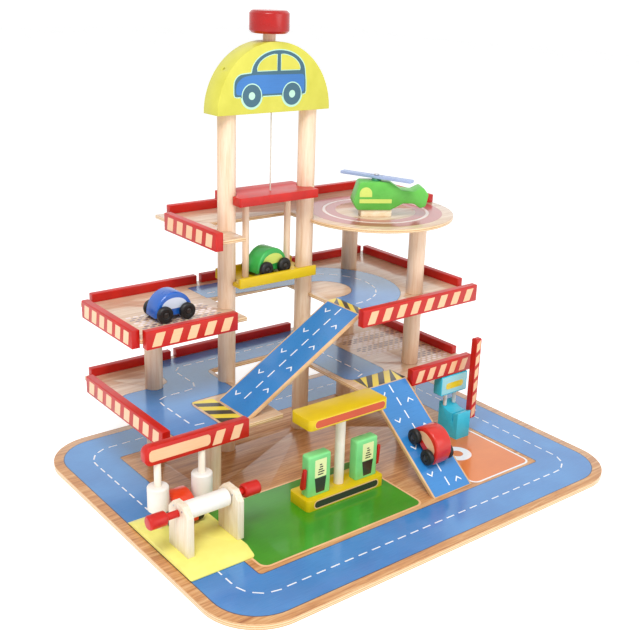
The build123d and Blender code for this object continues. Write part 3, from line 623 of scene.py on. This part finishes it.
def along(path, period, start=0.0):
    """Places at equal steps along a line of points, each with its heading."""
    places = []
    left = start
    for (ax, ay), (bx, by) in zip(path, path[1:]):
        length = math.hypot(bx - ax, by - ay)
        while left <= length:
            t = left / length
            heading = math.degrees(math.atan2(by - ay, bx - ax))
            places.append((ax + (bx - ax) * t, ay + (by - ay) * t, heading))
            left += period
        left -= length
    return places


def dashes(path, period=19.0, start=6.0):
    """A broken line of dashes 12 mm long and 1.8 mm wide."""
    return repeated(patch(rounded(0, 0, 12.0, 1.8, 0.5, 2)), along(path, period, start))


def flat(z, high=0.0):
    """A drawing laid on a level face."""
    return facing((0, 0, z + high), (1, 0, 0), (0, 1, 0))


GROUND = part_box("base_board")[1].z / MM
DECK = {n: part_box(f"deck_{n}")[1].z / MM for n in (1, 2, 3)}
print("printing on", GROUND, DECK)

# %% [markdown]
# ## The ground board
# A blue ring road runs round the board, with a dark key line on both sides and a broken white middle
# line. Inside it lie a green lawn under the fuel station and an orange parking patch with a plain
# white ring. Each border is a band round the same outline, so it can't drift from what it frames.

# %% Ring road
road_middle = rounded(0, 0, 500.6, 378.4, 35, 12)
ring_outer = rounded(0, 0, 564, 442, 53, 12)
ring_inner = rounded(0, 0, 437, 315, 5, 12)
lay("ground_road", [band(ring_outer, ring_inner)], flat(GROUND), road_ink)
key_lines = [band(rounded(0, 0, 566, 444, 54, 12), ring_outer, 0.22),
             band(ring_inner, rounded(0, 0, 435, 313, 4, 12), 0.22)]
lay("ground_road_outline", key_lines, flat(GROUND), line_ink)
lay("ground_road_dashes", dashes(road_middle + road_middle[:1]), flat(GROUND, 0.06), white_ink)
print("the ring road is laid")

# %% Lawn and parking patch
lawn, lawn_edge = rounded(-93, -83.5, 228, 129, 9), rounded(-93, -83.5, 233, 134, 11)
lay("grass", [patch(lawn)], flat(GROUND), grass_ink)
lay("grass_border", [band(lawn_edge, lawn, RIM_INK)], flat(GROUND), cream_ink)
lot, lot_edge = rounded(159, -94.5, 100, 111, 9), rounded(159, -94.5, 105, 116, 11)
lay("parking_patch", [patch(lot)], flat(GROUND), orange_ink)
ring = [band(lot_edge, lot, RIM_INK), band(circle(147, -82, 19), circle(147, -82, 8), 0.28)]
lay("parking_border", ring, flat(GROUND), white_ink)
print("the lawn and the parking patch are laid")

# %% [markdown]
# ## Lanes on the decks
# Each lane is one closed outline that follows the road from ramp to ramp, with rounded corners. Its key
# line is a band between the outline grown by half a millimetre and shrunk by as much.

# %% Deck 1 lane
def lane(deck, points, middle, start):
    """A lane, its key line and its broken middle line."""
    lay(f"deck_{deck}_lane", [patch(points)], flat(DECK[deck]), road_ink)
    edge = band(grown(points, 0.5), grown(points, -0.5), RIM_INK)
    lay(f"deck_{deck}_lane_edge", [edge], flat(DECK[deck]), line_ink)
    lay(f"deck_{deck}_dashes", dashes(middle, 19, start), flat(DECK[deck], 0.06), white_ink)


lane_1 = corners((-229, -12), (-229, 129), (-158, 129), (-152, 199), (98, 199), (98, 8), (33, 8),
                 (33, 141), (-100, 141), (-100, 66), (-170, 66), (-170, -12), radius=14)
middle_1 = corners((-175, 8), (-197.5, 8), (-197.5, 97.5), (-134, 97.5), (-134, 169), (65.5, 169),
                   (65.5, 12), radius=22)[5:-1]
lane(1, lane_1, middle_1, 4)
print("deck 1 has a lane of", len(lane_1), "points")

# %% [markdown]
# ## Warning strips
# Where a ramp starts or ends, a yellow strip carries slanted black bars. The bars are cut off at the
# strip's ends by limiting each of their corners, which is simpler than a boolean and leaves clean faces.

# %% Bars and the strips of deck 1
def warning(left, bottom, width, height, lean, pitch):
    """Black slanted bars for a strip. Their right side lies lean millimetres higher than their left."""
    top = bottom + height
    bars = []
    y = bottom - abs(lean)
    while y < top + abs(lean):
        half = y + pitch / 2
        bar = [(left, y), (left + width, y + lean), (left + width, half + lean), (left, half)]
        inside = [(x, min(max(v, bottom), top)) for x, v in bar]
        if abs(inside[0][1] - inside[3][1]) + abs(inside[1][1] - inside[2][1]) > 2:
            bars.append(patch(inside))
        y += pitch
    return bars


def front_facing(high):
    """A drawing on deck 1 that is turned, its x to the back and its y to the left."""
    return facing((0, 0, DECK[1] + high), (0, 1, 0), (-1, 0, 0))


strip = patch(corners((-166, -10), (-139, -10), (-139, 60), (-166, 64), radius=2))
lay("deck_1_warning", [strip], flat(DECK[1], 0.05), yellow_ink)
lay("deck_1_warning_bars", warning(-166, -10, 27, 70, -16, 25), flat(DECK[1], 0.1), black_ink)
lay("deck_1_front_warning", [patch(rounded(-7, -71, 30, 64, 1))], front_facing(0.05), yellow_ink)
lay("deck_1_front_bars", warning(-22, -103, 30, 64, -24, 20), front_facing(0.1), black_ink)
print("deck 1 has two warning strips")

# %% Deck 2 lane and strip
turn_outer = arc(52, 89, 100, 90, -90, 40)
turn_inner = arc(52, 89, 36, -90, 90, 40)
lane_2 = [(-96, 189)] + turn_outer + [(42, -11), (42, 53)] + turn_inner + [(-96, 141)]
lane(2, lane_2, [(-90, 157)] + arc(52, 89, 68, 90, -90, 30) + [(44, 21)], 10)
lay("deck_2_warning", [patch(rounded(35, 19, 15, 64, 1))], flat(DECK[2], 0.05), yellow_ink)
lay("deck_2_warning_bars", warning(27.5, -13, 15, 64, 26, 22), flat(DECK[2], 0.1), black_ink)
print("deck 2 has its turning lane")

# %% [markdown]
# ## Paving
# The parking areas have a printed pavement of small tiles in staggered rows, three rows of one tint and
# three of the other. One tile is drawn and copied. It has few faces, because there are hundreds.

# %% Tiles in two inks
TILE_PITCH, ROW_PITCH = 10.0, 5.2


def paving(zones):
    """Places of small tiles in staggered rows, in two sets for two inks."""
    sets = ([], [])
    for left, bottom, right, top in zones:
        row = 0
        y = bottom
        while y < top:
            x = left + (row % 2) * TILE_PITCH / 2
            while x < right:
                sets[row // 3 % 2].append((x, y))
                x += TILE_PITCH
            y += ROW_PITCH
            row += 1
    return sets


for deck, zones in ((1, ((112, 62, 208, 136), (160, 4, 208, 54))), (2, ((-214, 64, -112, 128),))):
    for ink, places in zip((tile_ink, grey_ink), paving(zones)):
        tiles = repeated(patch(rounded(0, 0, 6.4, 3.4, 0.5, 2), 0.12), places)
        lay(f"deck_{deck}_{ink.name}", tiles, flat(DECK[deck]), ink)
        print("deck", deck, "has", len(places), "tiles of", ink.name)

# %% [markdown]
# ## Landing rings
# The round landing place has two broad rings with a thin pale one between them, all about one centre.
# A disc with a hole would need a boolean. A band between two circles doesn't, and is even all round.

# %% Rings on the top deck
landing = lambda radius: circle(129.25, 83, radius, 72)
rings = [band(landing(outer), landing(inner)) for outer, inner in ((88, 71), (66, 53))]
lay("landing_rings", rings, flat(DECK[3]), pink_ink)
lay("landing_pale_ring", [band(landing(70.2), landing(66.8))], flat(DECK[3]), tile_ink)
print("the landing place has three rings")

# %% [markdown]
# ## The ramps
# Both ramps carry the same print: a blue face, a broken middle line and small open arrow heads, up on
# one side and down on the other. The drawing is flat and starts at the top of the ramp. The frame's
# boxes give the slope, so the print lies exactly on the driving face.

# %% Ramp print
HEAD_PITCH, HEAD_SIDE = 39, 17


def ramp_print(name, top, downhill, across, run):
    """The blue face, its middle line and arrow heads both ways."""
    place = facing(top, downhill, across)
    lay(name + "_blue", [patch(rounded(run / 2, 0, run - 1.5, 59.5, 0.6, 2))], place, ramp_ink)
    line = dashes([(0, 0), (run - 6, 0)], 19.5, 9)
    lay(name + "_dashes", line, place @ raised(0.06), white_ink)
    head = patch([(-3.4, 4.4), (-2.0, 5.2), (3.4, 0), (-2.0, -5.2), (-3.4, -4.4), (1.0, 0)])
    steps = [HEAD_PITCH * i for i in range(int(run / HEAD_PITCH) + 1)]
    heads = [(14 + step, -HEAD_SIDE, 0) for step in steps if 14 + step < run - 6]
    heads += [(30 + step, HEAD_SIDE, 180) for step in steps if 30 + step < run - 6]
    lay(name + "_arrows", repeated(head, heads), place @ raised(0.06), white_ink)
    print(name, "is", round(run), "mm long with", len(heads), "arrow heads")


RAMP_LIP = 0.8
fall = DECK[2] - DECK[1] - RAMP_LIP
low, high = (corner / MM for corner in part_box("upper_ramp"))
slope = math.atan2(fall, high.x - low.x)
ramp_print("upper_ramp", (high.x, (low.y + high.y) / 2, DECK[2]), (-math.cos(slope), 0, -math.sin(slope)),
           (0, -1, 0), math.hypot(fall, high.x - low.x))
low, high = (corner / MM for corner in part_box("lower_ramp"))
slope = math.atan2(fall, high.y - low.y)
ramp_print("lower_ramp", ((low.x + high.x) / 2, high.y, DECK[1]), (0, -math.cos(slope), -math.sin(slope)),
           (1, 0, 0), math.hypot(fall, high.y - low.y))

# %% [markdown]
# ## Windows on the edge boards
# The red boards are screen printed with slanted cream panes. One pane is drawn and copied at equal
# steps along the board's length, which the frame gives, so the row always fits its board.

# %% Slanted panes
def windows(name, count, run, height, place, lean, width, gap_end=4.0):
    """A row of slanted panes, one drawing copied along the board."""
    low, high = 2.6 - height / 2, height / 2 - 3.6
    pane = corners((-width / 2 - lean, low), (width / 2 - lean, low), (width / 2 + lean, high),
                   (-width / 2 + lean, high), radius=0.8, steps=2)
    pitch = (run - 2 * gap_end) / count
    places = [(-run / 2 + gap_end + pitch * (i + 0.5), 0) for i in range(count)]
    lay(name, repeated(patch(pane, RIM_INK), places), place, cream_ink)


def corners_of(node):
    """A node's low corner, high corner and middle, in millimetres."""
    low, high = (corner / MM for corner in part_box(node))
    return low, high, (low + high) / 2


for node, count in (("side_board_1", 8), ("side_board_2", 6), ("side_board_3", 5)):
    low, high, middle = corners_of(node)
    run = high.y - low.y
    place = facing((low.x, middle.y, middle.z), (0, -1, 0), (0, 0, 1))
    windows(node + "_windows", count, run, high.z - low.z, place, 1.2, run / count * 0.56)
    print(node, "has", count, "panes")

# %% Front boards and the wash sign
FRONT = ((1, 0, 0), (0, 0, 1))
LEAN, PANE = 3.0, 12
low, high, middle = corners_of("front_board_1")
run = high.x - low.x
place = facing((middle.x, low.y, middle.z), *FRONT)
windows("front_board_1_windows", 5, run, high.z - low.z, place, LEAN, run / 5 * 0.5)
low, high, middle = corners_of("front_boards_2")
for side, count, run, spot in (("left", 5, 121, (-173.5, high.y - 10, middle.z)),
                               ("right", 8, 196, (114, low.y, middle.z))):
    place = facing(spot, *FRONT)
    windows(f"front_board_2_{side}_windows", count, run, high.z - low.z, place, LEAN, PANE)
low, high, middle = corners_of("wash_sign_board")
sign = facing((low.x, low.y, middle.z), *FRONT)
windows("wash_sign_windows", 2, 54.8, high.z - low.z, sign @ at(104, 0), LEAN, PANE)
lay("wash_sign_plate", [patch(rounded(43, 0, 76, 13.5, 4.5))], sign, cream_ink)
print("the front boards have their panes, and the wash its plate")

# %% [markdown]
# ## The picture on the tower head
# A plain side view of a car in flat colours, as such toys have. It is a stack of skins, each a little
# higher than the last: pale outline, slate shell, blue side, panes and wheels. Roof and panes share one
# centre, so the frame of the windows keeps an even width.

# %% Car picture
low, high, middle = corners_of("tower_head")
head_face = facing((middle.x, low.y, low.z), *FRONT)
WHEEL_SPOTS = ((-34.0, 20.5), (23.5, 20.5))
bonnet, roof = arc(-46, 33, 12, 180, 95, 6), arc(4, 46, 38, 180, 0, 24, 25)
shell = corners(*([(-58, 20)] + bonnet + roof + [(43.5, 33), (43.5, 20)])[::-1], radius=3, steps=2)
side_panel = corners((-56, 22), (41.5, 22), (41.5, 43), (-32, 44), (-47, 42), (-55.5, 34), radius=5)
panes = ([(7, 48.5)] + arc(4, 48.5, 30.5, 0, 84, 12, 18), arc(4, 48.5, 30.5, 96, 180, 12, 18) + [(1, 48.5)])


def skin(*shapes):
    return [patch(shape, 0.16) for shape in shapes]


def discs(radius):
    return skin(*(circle(x, y, radius) for x, y in WHEEL_SPOTS))


lay("picture_outline", skin(grown(shell, 1.2)) + discs(15.4), head_face, pale_ink)
lay("picture_shell", skin(shell), head_face @ raised(0.06), slate_ink)
lay("picture_side", skin(side_panel), head_face @ raised(0.12), picture_ink)
lay("picture_pale_rings", skin(*(grown(pane, 0.9) for pane in panes)) + discs(14.2),
    head_face @ raised(0.18), pale_ink)
lay("picture_panes", skin(*panes), head_face @ raised(0.24), head_lemon)
lay("picture_wheels", discs(12.9), head_face @ raised(0.24), slate_ink)
lay("picture_hubs", discs(4.4), head_face @ raised(0.3), pale_ink)
print("the head has its picture, in seven skins")

# %% [markdown]
# ## The lift cord
# The cord is three cotton strands twisted together. A curve with a texture would look flat, so each
# strand is a small circle swept round the axis by a Screw modifier, and the three are turned by a third
# each. The knot below the roof holds it.

# %% Twisted cord
def strand(radius, away, pitch, turns, turn=0.0):
    """One strand of a cord: an upright circle swept up round the z axis."""
    bpy.ops.mesh.primitive_circle_add(vertices=8, radius=radius * MM, location=(away * MM, 0, 0),
                                      rotation=(math.radians(90), 0, 0))
    made = bpy.context.object
    pick(made)
    bpy.ops.object.transform_apply(location=True, rotation=True, scale=True)
    modify(made, "SCREW", angle=2 * math.pi, screw_offset=pitch * MM, iterations=turns, steps=14,
           render_steps=14, axis="Z", use_smooth_shade=True)
    made.data.transform(Matrix.Rotation(math.radians(turn), 4, "Z"))
    edit(made, face_outwards)
    return made


CORD_TWISTS = 27
cord_low, cord_high, cord_middle = corners_of("lift_cord")
cord_foot = Vector((cord_middle.x, cord_middle.y, cord_low.z)) * MM
pitch = (cord_high.z - cord_low.z) / CORD_TWISTS
cord = joined("lift_cord_twisted", [strand(0.52, 0.46, pitch, CORD_TWISTS, turn) for turn in (0, 120, 240)])
cord.data.transform(Matrix.Translation(cord_foot))
cord.data.materials.append(cotton)
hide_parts("lift_cord")
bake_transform(cord)
print("the cord is", round(cord_high.z - cord_low.z), "mm long with", CORD_TWISTS, "twists")

# %% [markdown]
# Inside the head, the cord winds on the spindle's spool: one thicker strand in a close helix.

# %% Turns on the spool
COIL_RADIUS, COIL_PITCH, COIL_END = 0.95, 2.1, 1
low, high, middle = corners_of("cord_winding")
coil_turns = int((high.z - low.z - 2 * COIL_END) / COIL_PITCH)
coil = strand(COIL_RADIUS, (high.x - low.x) / 2 - COIL_RADIUS, COIL_PITCH, coil_turns)
coil.name = "cord_winding_turns"
coil.data.transform(Matrix.Translation(Vector((middle.x, middle.y, low.z + COIL_END)) * MM))
dress(coil, cotton, "winder")
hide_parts("cord_winding")
print("the spool has", coil_turns, "turns")

# %% [markdown]
# ## Small turned pieces
# Nail heads, the knot, hub caps and the hub collar are round. A lathe is the natural way: half of the
# section is drawn as a ring of vertices, spun once round the axis, and its doubles are merged, which
# also closes the poles. Then the faces are turned outwards.

# %% Spin a section
def turned(name, x, y, z, profile, steps=32):
    """A small turned piece: a closed half profile of (radius, height) points spun round the z axis."""
    bpy.ops.mesh.primitive_circle_add(vertices=len(profile), radius=MM, fill_type="NOTHING")
    made = bpy.context.object
    for vertex, (radius, height) in zip(made.data.vertices, profile):
        vertex.co = (radius * MM, 0, height * MM)
    edit(made, lambda: bpy.ops.mesh.spin(steps=steps, angle=2 * math.pi, center=(0, 0, 0), axis=(0, 0, 1)),
         lambda: bpy.ops.mesh.select_all(action="SELECT"), merge_doubles, face_outwards)
    made.data.transform(Matrix.Translation((x * MM, y * MM, z * MM)))
    made.name = name
    return smooth(made, 40)


PLATE, NAIL_DROP, NAIL_SPREAD = 8.0, 5.5, 8.5
nail = turned("nail", 0, 0, 0, [(0.0, -0.4), (1.3, -0.4), (1.3, 0.2), (0.8, 0.5), (0.0, 0.55)], 16)
low, high, middle = corners_of("wash_plates")
sides = ((low.x, 1), (low.x + PLATE, -1), (high.x - PLATE, 1), (high.x, -1))
nails = [copy_of(nail, facing((x, middle.y + y, high.z - NAIL_DROP), (0, -side, 0), (0, 0, 1)))
         for x, side in sides for y in (-NAIL_SPREAD, NAIL_SPREAD)]
discard(nail)
dress(joined("wash_plate_nails", nails), steel, "frame")
KNOT = [(0.0, -3.6), (1.6, -3.3), (2.5, -2.2), (2.7, -1.2), (2.2, -0.2), (0.0, 0.0)]
knot = turned("cord_knot", cord_middle.x, cord_middle.y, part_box("lift_roof")[0].z / MM, KNOT)
dress(knot, cotton, "lift")
print("nails on the wash plates:", len(nails))

# %% [markdown]
# ## The fuel station
# Roof and foot have long round-ended panels with a thin rim, and each pump a pale gauge with bars of
# unequal length over a black field. The rim is a band round the panel's own outline.

# %% Panels and gauges
panel_red = printed("Red_panel_ink", "#cf4a0a", "#c23f06", 0.34, 0.2)  # orange-red, like enamel


def panel(name, node, x, width, height, radius, ink, rim_ink, rim):
    """A rounded printed panel with a pale rim on the front of a piece."""
    low, high, middle = corners_of(node)
    place = facing((x, low.y, middle.z), *FRONT)
    inner = rounded(0, 0, width, height, radius, 8)
    outer = rounded(0, 0, width + 2 * rim, height + 2 * rim, radius + rim, 8)
    lay(name, [patch(inner)], place, ink)
    lay(name + "_rim", [band(outer, inner, RIM_INK)], place, rim_ink)


panel("station_roof_panel", "station_roof", -45, 104, 9.4, 4.6, panel_red, yellow_ink, 0.6)
panel("station_base_slot", "station_base", -46, 96, 8.4, 4.1, black_ink, cream_ink, 1.3)
low, high, middle = corners_of("pumps")
pump_face = facing((0, low.y, low.z), *FRONT)
gauges, marks, fields = [], [], []
HALF_PUMP = 16.5
for x in (low.x + HALF_PUMP, high.x - HALF_PUMP):
    gauges.append(patch(rounded(x + 1.2, 34.5, 17, 23, 0.8, 3)))
    fields.append(patch(corners((x - 7.3, 22.4), (x - 4.8, 3.2), (x + 7.6, 3.2), (x + 9.7, 22.4),
                                radius=0.6, steps=2)))
    for row, width in enumerate((8.0, 9.2, 6.2, 5.0, 3.6)):
        marks.append(patch(rounded(x + 1.2 + (row % 2) * 0.8, 26.5 + row * 3.1, width, 1.5, 0.4, 2), 0.12))
lay("pump_gauges", gauges, pump_face, gauge_ink)
lay("pump_black_fields", fields, pump_face, black_ink)
lay("pump_marks", marks, pump_face @ raised(0.1), black_ink)
print("the station has", len(marks), "gauge marks")

# %% [markdown]
# ## Booth and barrier
# The booth's sign is pale teal with a bare yellow field. The barrier's panes lean the same way seen
# from either side, so each side is drawn on its own face. They ride on the arm and swing with it.

# %% Sign and panes
low, high, middle = corners_of("booth_sign")
sign_face = facing((middle.x, low.y, middle.z), *FRONT)
lay("booth_sign_face", [patch(rounded(0, 0, 45, 24, 1.2, 3))], sign_face, teal_ink)
lay("booth_sign_patch", [patch(rounded(1, -1.5, 32, 9, 3.5, 5), 0.28)], sign_face, yellow_ink)
FIRST_PANE, PANE_PITCH = 10.5, 18.8
low, high, middle = corners_of("barrier_arm")
bar = corners((-3.3, -8.8), (3.3, -3.6), (3.3, 8.8), (-3.3, 3.6), radius=0.6, steps=2)
for name, side, right in (("front", low.y, (1, 0, 0)), ("rear", high.y, (-1, 0, 0))):
    bars = repeated(patch(bar, 0.22), [(0, FIRST_PANE + PANE_PITCH * i) for i in range(6)])
    place = facing((middle.x, side, low.z), right, (0, 0, 1))
    lay("barrier_panes_" + name, bars, place, cream_ink, "barrier")
    print("the barrier's", name, "has", len(bars), "panes")

# %% [markdown]
# ## The helicopter
# The helicopter stands turned on its block, so its prints are laid by its own directions: ahead, aside
# and up. Each side has a rounded window and a stripe, mirrored so that the window is always in front.
# The rotor sits on a small turned collar and has two dots for its nails.

# %% Windows, collar and rotor dots
joints = {joint["name"]: joint for joint in frame["joints"]}
COPTER_TURN, ROTOR_TURN = math.radians(-30.6), math.radians(-70.6)
HALF_COPTER, COPTER_HEIGHT = 13, 36
rotor_spot = joints["rotor_turn"]["pos_m"]
copter = Vector((rotor_spot[0] / MM, rotor_spot[1] / MM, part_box("helicopter_block")[1].z / MM))
ahead = Vector((math.cos(COPTER_TURN), math.sin(COPTER_TURN), 0))
aside = Vector((-math.sin(COPTER_TURN), math.cos(COPTER_TURN), 0))
window = [(-7, 0)] + arc(-15, 4.5, 8, 0, 180, 16) + [(-23, 0)]
stripe = rounded(-2, 11.6, 42, 5.2, 0.8, 3)
for side in (-1, 1):
    face = facing(copter + aside * HALF_COPTER * side, ahead * -side, (0, 0, 1))
    shapes = [[(-side * x, y + 17.0) for x, y in window], [(-side * x, y) for x, y in stripe]]
    lay(f"helicopter_window_{side + 2}", [patch(points, RIM_INK) for points in shapes], face, lime_ink)
hub_green = painted("Dark_green_hub_paint", "#2d8f5c", "#247a4d", "Z", 0.3)  # bottle green
COLLAR = [(5.2, -0.2), (6.6, -0.2), (6.4, 1.4), (5.6, 2.6), (5.2, 2.6)]
collar = turned("helicopter_hub_collar", copter.x, copter.y, copter.z + COPTER_HEIGHT, COLLAR)
dress(collar, hub_green, "frame")
blade = Vector((math.cos(ROTOR_TURN), math.sin(ROTOR_TURN), 0))
rotor_face = facing((copter.x, copter.y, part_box("helicopter_rotor")[1].z / MM), blade, (-blade.y, blade.x, 0))
dots = [patch(circle(x, 0, 1.5, 16)) for x in (-7.5, 7.5)]
lay("rotor_dots", dots, rotor_face, black_ink, "rotor")
print("the helicopter has windows on both sides")

# %% [markdown]
# ## The cars
# All four cars are one model: a thick slice with a lens-shaped window on both sides and black wheels
# with dark hub caps. Each stands somewhere else and points its own way. Its wheel joints say where, so
# the prints are placed from them. Windows ride on the car, and caps on their own wheels.

# %% Car windows and hub caps
AXLE_HEIGHT, HALF_BODY, WHEEL_FACE = 10.0, 12.5, 19.0
lens = arc(0, 16.5, 17, 0, 180, 20, 11) + arc(0, 16.5, 17, 180, 360, 20, 2.2)[1:-1]
cap = turned("hub_cap", 0, 0, 0, [(0.0, 0.0), (3.6, 0.0), (3.4, 0.5), (2.2, 0.9), (0.0, 0.95)], 20)
hub_black = painted("Dark_hub_cap", "#34302e", "#282523", "X", 0.3)  # a shade lighter than the wheel
for colour, ink in (("blue", sky_ink), ("green", lime_ink), ("red", peach_ink), ("orange", cream_ink)):
    ends = [Vector(joints[f"{colour}_{end}_turn"]["pos_m"]) / MM for end in ("front", "rear")]
    heading = Vector(joints[f"{colour}_car_roll"]["axis"]).normalized()
    lateral = Vector(joints[f"{colour}_front_turn"]["axis"]).normalized()
    up = heading.cross(lateral)
    stand = (ends[0] + ends[1]) / 2 - up * AXLE_HEIGHT
    for side in (-1, 1):
        face = facing(stand + lateral * HALF_BODY * side, heading * -side, up)
        pane = [patch(lens, RIM_INK)]
        lay(f"{colour}_car_window_{side + 2}", pane, face, ink, f"{colour}_car")
        for end, centre in zip(("front", "rear"), ends):
            made = copy_of(cap, facing(centre + lateral * WHEEL_FACE * side, heading * -side, up))
            made.name = f"{colour}_{end}_hub_{side + 2}"
            dress(made, hub_black, f"{colour}_{end}")
    print("the", colour, "car has its windows and four hub caps")
discard(cap)

# %% [markdown]
# ## Studio
# The toy stands on white paper. The floor's own colour and a little glow make it white, not more light
# on the toy. What the camera and mirrors see of the world is white too, while the light that the world
# sheds stays lower, so that pale paint keeps its tone.

# %% Floor and world
bpy.ops.mesh.primitive_plane_add(size=14, location=(0, 2, -0.5 * MM))
floor = bpy.context.object
floor.name = "studio_floor"
paper, tree, place, _ = material("White_paper_floor")
tone = add(tree, "TexNoise", {"Vector": place, "Scale": cells(3, 1000), "Detail": 2, "Roughness": 0.5})
white = add(tree, "ValToRGB", {0: tone}, ((0.3, "#f6f6f6"), (0.7, "#fbfbfb")))
shader = add(tree, "BsdfPrincipled", {
    "Base Color": white, "Roughness": 0.9, "Specular IOR Level": 0.1, "Emission Color": (1, 1, 1, 1),
    "Emission Strength": 0.5})
add(tree, "OutputMaterial", {0: shader})
floor.data.materials.append(paper)

world = bpy.data.worlds.new("Studio")
bpy.context.scene.world = world
world.use_nodes = True
tree = world.node_tree
tree.nodes.clear()
ray = add(tree, "LightPath")
soft = add(tree, "Background", {"Color": (1, 1, 1, 1), "Strength": 0.5})
bright = add(tree, "Background", {"Color": (1, 1, 1, 1), "Strength": 1.2})
seen = add(tree, "Math", {0: ray.outputs["Is Camera Ray"], 1: ray.outputs["Is Glossy Ray"]},
           operation="MAXIMUM")
add(tree, "OutputWorld", {0: add(tree, "MixShader", {0: seen, 1: soft, 2: bright})})
print("the floor is", round(floor.dimensions.x), "m wide")

# %% [markdown]
# One large soft lamp high on the left models the forms, and a weak one in front opens the shadows under
# the decks. Both are discs, which give round soft highlights.

# %% Lamps
def soft_light(name, place, target, size, power):
    data = bpy.data.lights.new(name, "AREA")
    data.shape = "DISK"
    data.size = size
    data.energy = power
    lamp = bpy.data.objects.new(name, data)
    bpy.context.collection.objects.link(lamp)
    lamp.location = place
    lamp.rotation_euler = (Vector(target) - Vector(place)).to_track_quat("-Z", "Y").to_euler()


soft_light("key_light", (-1.1, -1.0, 2.3), (0, 0, 0.15), 1.2, 47)
soft_light("front_fill", (0.9, -2.2, 0.9), (0, 0, 0.2), 1.6, 12)
print("lamps:", len(bpy.data.lights))

# %% [markdown]
# The camera stands where the photograph was taken from: to the left of the front, a little above, and
# turned slightly about its own axis.

# %% Camera
azimuth, elevation, roll = math.radians(-38.65), math.radians(19.63), math.radians(1.9)
FOCAL_PIXELS, PICTURE_PIXELS, SENSOR = 972.55, 640, 36
level = math.cos(elevation)
back = Vector((math.sin(azimuth) * level, -math.cos(azimuth) * level, math.sin(elevation)))
right = (-back).cross(Vector((0, 0, 1))).normalized()
up = right.cross(-back)
turned_right = math.cos(roll) * right + math.sin(roll) * up
turned_up = -math.sin(roll) * right + math.cos(roll) * up
view = bpy.data.cameras.new("camera")
view.lens = FOCAL_PIXELS / PICTURE_PIXELS * SENSOR
view.sensor_width = SENSOR
view.clip_start = 0.05
camera = bpy.data.objects.new("camera", view)
stand = Matrix.Translation((-0.71213, -0.85975, 0.59398))
camera.matrix_world = stand @ Matrix((turned_right, turned_up, back)).transposed().to_4x4()
bpy.context.collection.objects.link(camera)
bpy.context.scene.camera = camera
bpy.context.scene.view_settings.view_transform = "Standard"
print("the lens is", round(view.lens, 1), "mm")
